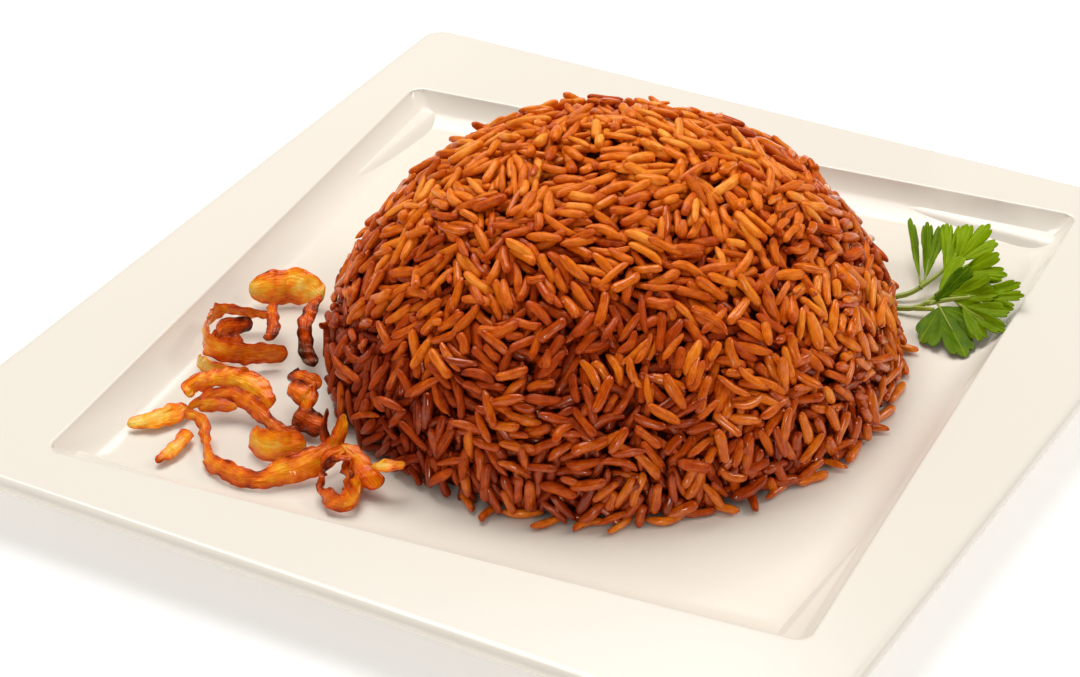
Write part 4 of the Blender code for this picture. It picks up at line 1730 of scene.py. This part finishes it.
class Leaflet(NamedTuple):
    """A lobed leaf, in millimetres over the floor: its midrib's ends, width, roll in degrees and cup.

    The shade goes from deep (0) to bright (1), and the spread is half the angle of its fan, in degrees.
    """

    base: Place
    tip: Place
    width: float
    roll: float
    cup: float
    shade: float
    spread: float
    lobes: int


STEMS = (
    ((60, 57.5, 1.3), (63.5, 60, 2.2), (66, 63.5, 3.6), (68, 67.5, 5), (69.5, 71.5, 6.5)),
    ((63, 53, 1.3), (68, 54, 2.4), (70.5, 56, 3.8), (72, 60.5, 5), (73.5, 68.5, 6.8)),
    ((70.5, 55.5, 3.6), (75, 57, 5), (81.5, 58.5, 7)),
    ((68, 54, 2.2), (73.5, 53, 4)),
    ((65.5, 62, 3.2), (65.5, 64.5, 4)),
)

LEAFLETS = (
    Leaflet((64.5, 64, 4), (52, 84, 9), 3, 15, 0.5, 0.45, 24, 1),
    Leaflet((65.5, 65, 4.2), (59.5, 84, 10), 6.6, 15, 0.8, 0.3, 34, 2),
    Leaflet((70.5, 66.5, 5.5), (65, 84.5, 11), 6.5, 10, 0.9, 0.66, 34, 2),
    Leaflet((71, 73, 6.8), (74.5, 85.5, 12), 11.5, 18, 1.3, 0.8, 62, 3),
    Leaflet((72, 59, 5.5), (75.5, 72, 8.5), 9, 10, 1, 0.72, 40, 2),
    Leaflet((73, 67, 6.5), (88, 67, 10.5), 13, 35, 1.2, 0.7, 58, 3),
    Leaflet((72.5, 55, 4.8), (79, 67.5, 8.2), 8, 50, 1.2, 0.0, 42, 2),
    Leaflet((75.5, 58.5, 5.5), (89, 60, 8.5), 12, 42, 1, 0.5, 60, 3),
    Leaflet((81.5, 59, 7), (96, 60, 10), 9.5, 32, 0.7, 0.6, 46, 3),
    Leaflet((80.5, 55.5, 5.5), (96, 48, 6), 12, 30, 0.6, 0.38, 60, 3),
    Leaflet((74.5, 54.5, 4.2), (88.5, 40, 2.4), 17.5, 10, -0.8, 0.06, 92, 3),
)


@dataclass
class Parsley:
    """The sprig: forked stems and their leaflets, each fanned in lobes with scalloped edges."""

    floor: float
    stem_width: float = 0.0015
    stem_taper: float = 0.35
    thickness: float = 0.00035
    teeth: int = 3
    notch: float = 0.30
    tooth: float = 0.10
    neck: float = 0.12
    back_share: float = 0.45
    back_rate: float = 0.62
    steps: int = 24
    rows: int = 9
    root: float = 0.04
    vein_depth: float = 0.25
    wave: float = 1.9
    dish: float = 0.9
    under_shade: float = 0.2
    stem_sides: int = 12
    stem_steps: int = 10
    rib_start: float = 1.2
    rib_shares: tuple[float, ...] = (0.25, 0.5)
    rib_widths: tuple[float, float] = (0.5, 0.2)
    leaf_crease: float = 70
    stem_crease: float = 50

    def reach(self, turn: float, angle: float) -> float:
        """How far the leaf's edge is from its base, as a share.

        Args:
            turn: where the edge is, from 0 to the lobe count.
            angle: the angle there from the midrib, in radians.

        Returns:
            The share of the leaf's length.
        """
        back = self.back_share + (1 - self.back_share) * math.cos(angle * self.back_rate)
        lobe = turn % 1
        notched = 1 - self.notch * abs(2 * lobe - 1) ** 2.6
        scallop = 1 - self.tooth * (1 - abs(math.sin(math.pi * self.teeth * lobe)) ** 0.7)
        return back * notched * scallop

    def leaf_points(self, leaflet: Leaflet, number: int) -> np.ndarray:
        """The middle surface of a leaf.

        Args:
            leaflet: the leaf.
            number: its number, which makes its waves its own.

        Returns:
            Rows of points from its base out to its edge.
        """
        base = Vector(leaflet.base) * MM + UP * self.floor
        forward = Vector(leaflet.tip) * MM + UP * self.floor - base
        length = forward.length
        forward.normalize()
        level = forward.cross(UP).normalized()
        side = Matrix.Rotation(math.radians(leaflet.roll), 3, forward) @ level
        up = side.cross(forward)
        around = leaflet.lobes * self.steps
        turns = [leaflet.lobes * i / around for i in range(around + 1)]
        angles = [math.radians(leaflet.spread) * (2 * turn / leaflet.lobes - 1) for turn in turns]
        edges = [self.reach(turn, angle) for turn, angle in zip(turns, angles)]
        widest = max(edge * math.sin(angle) for edge, angle in zip(edges, angles))
        points = []
        for row in range(self.rows + 1):
            share = self.root + (1 - self.root) * row / self.rows
            for turn, angle, edge in zip(turns, angles, edges):
                across = leaflet.width * MM / 2 * edge * math.sin(angle) / widest * share
                along = length * (self.neck * share + (1 - self.neck) * edge * math.cos(angle) * share)
                vein = abs(2 * (turn % 1) - 1)
                wave = noise.noise(Vector((turn * 1.3, share * 1.6, number * 5.3)))
                fold = leaflet.cup * share * (edge + self.dish * (across / (leaflet.width * MM)) ** 2)
                height = fold + (wave * self.wave - self.vein_depth * (1 - vein) ** 4) * share
                points.append(base + side * across + forward * along + up * height * MM)
        return np.array([tuple(point) for point in points]).reshape(self.rows + 1, around + 1, 3)

    def add_leaf(self, build: Build, leaflet: Leaflet, number: int) -> None:
        """Adds one leaf as a thin shell with two faces and an edge.

        Args:
            build: the mesh.
            leaflet: the leaf.
            number: its number.
        """
        grid = self.leaf_points(leaflet, number)
        rows, columns = grid.shape[:2]
        half = rows * columns
        out = unit(np.cross(np.gradient(grid, axis=0), np.gradient(grid, axis=1))) * self.thickness / 2
        points = np.concatenate([(grid + out).reshape(-1, 3), (grid - out).reshape(-1, 3)])
        faces: list[Face] = []
        for i in range(rows - 1):
            for j in range(columns - 1):
                corner = i * columns + j
                quad = (corner, corner + 1, corner + columns + 1, corner + columns)
                faces.append(quad[::-1])
                faces.append(tuple(half + place for place in quad))
        rim = list(range(columns)) + [i * columns + columns - 1 for i in range(1, rows)]
        rim += [(rows - 1) * columns + j for j in range(columns - 2, -1, -1)]
        rim += [i * columns for i in range(rows - 2, 0, -1)]
        for corner, following in zip(rim, rim[1:] + rim[:1]):
            faces.append((corner, following, half + following, half + corner))
        under_shade = min(leaflet.shade + self.under_shade, 1)
        build.add(
            points,
            faces,
            turn=np.tile(np.linspace(0, leaflet.lobes, columns), rows * 2),
            reach=np.tile(np.repeat(np.linspace(self.root, 1, rows), columns), 2),
            shade=np.repeat([leaflet.shade, under_shade], half),
        )

    def add_stem(self, build: Build, places: Sequence[Sequence[float]], wide: float, thin: float) -> None:
        """Adds a round stem.

        Args:
            build: the mesh.
            places: its route, in millimetres over the floor.
            wide: the width where it starts, in metres.
            thin: the width where it ends.
        """
        last, sides = len(places) - 1, self.stem_sides
        route = [(Vector(place) * MM + UP * self.floor, wide + (thin - wide) * number / last)
                 for number, place in enumerate(places)]
        rings = swept(route, sides, resolution_u=self.stem_steps, bevel_depth=0.5,
                      bevel_resolution=sides // 2 - 2)
        count = len(rings)
        build.add(
            rings.reshape(-1, 3),
            tube_faces(count, sides),
            around=np.tile(np.arange(sides) / sides, count),
            shade=np.repeat(np.linspace(0, 1, count), sides),
        )

    def build(self) -> list[bpy.types.Object]:
        """Makes the sprig in place of its solid.

        Returns:
            Its two pieces, the leaves and the stems.
        """
        leaves, stems = Build(), Build()
        for number, leaflet in enumerate(LEAFLETS):
            self.add_leaf(leaves, leaflet, number)
            base, tip = Vector(leaflet.base), Vector(leaflet.tip)
            start = base - (tip - base).normalized() * self.rib_start
            rib = [start, base] + [base.lerp(tip, share) for share in self.rib_shares]
            self.add_stem(stems, rib, *(self.stem_width * share for share in self.rib_widths))
        for route in STEMS:
            self.add_stem(stems, route, self.stem_width, self.stem_width * (1 - self.stem_taper))
        made = [
            leaves.piece("parsley_leaves", FreshLeaf().material(), Slot.PARSLEY, self.leaf_crease),
            stems.piece("parsley_stems", FreshStem().material(), Slot.PARSLEY, self.stem_crease),
        ]
        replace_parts(made[0], "parsley_sprig")
        return made


# Studio.


class Lamp(NamedTuple):
    """A soft square lamp that faces the plate.

    The azimuth goes round the plate from its front and the elevation up from the floor, in degrees.
    The distance and the side are in metres, and the power in watts.
    """

    name: str
    azimuth: float
    elevation: float
    distance: float
    side: float
    power: float
    colour: Colour


LAMPS = (
    Lamp("lamp_above", 228, 63, 1.2, 0.8, 12.4, (1, 0.985, 0.965)),
    Lamp("lamp_right", 125, 38, 1.5, 0.45, 5.8, (1, 0.975, 0.94)),
    Lamp("lamp_low", 20, 14, 1.3, 0.15, 3.0, (1, 0.97, 0.93)),
)


@dataclass
class Studio:
    """The floor, the soft lights and the camera, which stands at the photograph's angle.

    The camera's angles are in degrees, and its focal length is given in pixels of the photograph.
    """

    floor_side: float = 6.0
    floor_gap: float = 0.0001
    azimuth: float = 32.07
    elevation: float = 32.70
    roll: float = -2.506
    distance: float = 0.838
    target: Vector = field(default_factory=lambda: Vector((-0.00741, -0.00995, 0.016)))
    sensor: float = 36.0
    image_width: float = 1080.0
    focal_pixels: float = 3280.0
    sees_from_to: tuple[float, float] = (0.01, 50)
    sky: float = 0.50
    sky_colour: Colour = (1, 0.99, 0.975)

    def away(self, azimuth: float, elevation: float) -> Vector:
        """The direction towards a place seen at an azimuth and an elevation, both in degrees.

        Args:
            azimuth: how far round the plate it is, 0 in front.
            elevation: how high it is.

        Returns:
            The direction.
        """
        turn, rise = math.radians(azimuth), math.radians(elevation)
        level = math.cos(rise)
        return Vector((math.sin(turn) * level, -math.cos(turn) * level, math.sin(rise)))

    def add_camera(self) -> None:
        """Places the camera at the photograph's angle."""
        back = self.away(self.azimuth, self.elevation)
        right = UP.cross(back).normalized()
        above = back.cross(right)
        c, s = math.cos(math.radians(self.roll)), math.sin(math.radians(self.roll))
        x, y = right * c + above * s, above * c - right * s
        turn = Matrix((x, y, back)).transposed().to_4x4()
        data = bpy.data.cameras.new("camera")
        data.sensor_width = self.sensor
        data.lens = self.sensor * self.focal_pixels / self.image_width
        data.clip_start, data.clip_end = self.sees_from_to
        made = placed("camera", data)
        made.matrix_world = Matrix.Translation(self.target + back * self.distance) @ turn
        bpy.context.scene.camera = made

    def add_lamp(self, lamp: Lamp) -> None:
        """Adds a lamp.

        Args:
            lamp: the lamp.
        """
        data = bpy.data.lights.new(lamp.name, "AREA")
        data.shape = "SQUARE"
        data.size = lamp.side
        data.energy = lamp.power
        data.color = lamp.colour
        made = placed(lamp.name, data)
        away = self.away(lamp.azimuth, lamp.elevation)
        made.location = away * lamp.distance
        made.rotation_mode = "QUATERNION"
        made.rotation_quaternion = away.to_track_quat("Z", "Y")

    def add_sky(self) -> None:
        """Lights everything evenly from all round."""
        world = bpy.data.worlds.new("studio")
        world.use_nodes = True
        background = world.node_tree.nodes["Background"]
        background.inputs["Color"].default_value = (*self.sky_colour, 1)
        background.inputs["Strength"].default_value = self.sky
        world.cycles_visibility.glossy = False
        bpy.context.scene.world = world

    def add_floor(self) -> None:
        """Lays the pale floor that the plate stands on."""
        half = self.floor_side / 2
        corners = [(-half, -half, 0), (half, -half, 0), (half, half, 0), (-half, half, 0)]
        mesh = bpy.data.meshes.new("studio_floor")
        mesh.from_pydata(corners, [], [(0, 1, 2, 3)])
        mesh.materials.append(Ground().material())
        made = placed("studio_floor", mesh)
        made.location.z = -self.floor_gap

    def build(self) -> None:
        """Sets the studio up."""
        self.add_floor()
        self.add_sky()
        for lamp in LAMPS:
            self.add_lamp(lamp)
        self.add_camera()
        bpy.context.scene.view_settings.view_transform = "Standard"


def clear_startup() -> None:
    """Removes the objects of Blender's startup scene."""
    for name in ("Cube", "Light", "Camera"):
        thing = bpy.data.objects.get(name)
        if thing and "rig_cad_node" not in thing:
            bpy.data.objects.remove(thing)


def main() -> None:
    """Builds every piece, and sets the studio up."""
    logging.basicConfig(level=logging.INFO, format="%(name)s: %(message)s")
    clear_startup()
    plate = Plate()
    plate.build()
    RiceHeap(plate.floor).build()
    for number, onion in enumerate(ONIONS):
        onion.build(plate.floor, number)
    Parsley(plate.floor).build()
    Studio().build()
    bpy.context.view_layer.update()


if __name__ == "__main__":
    main()
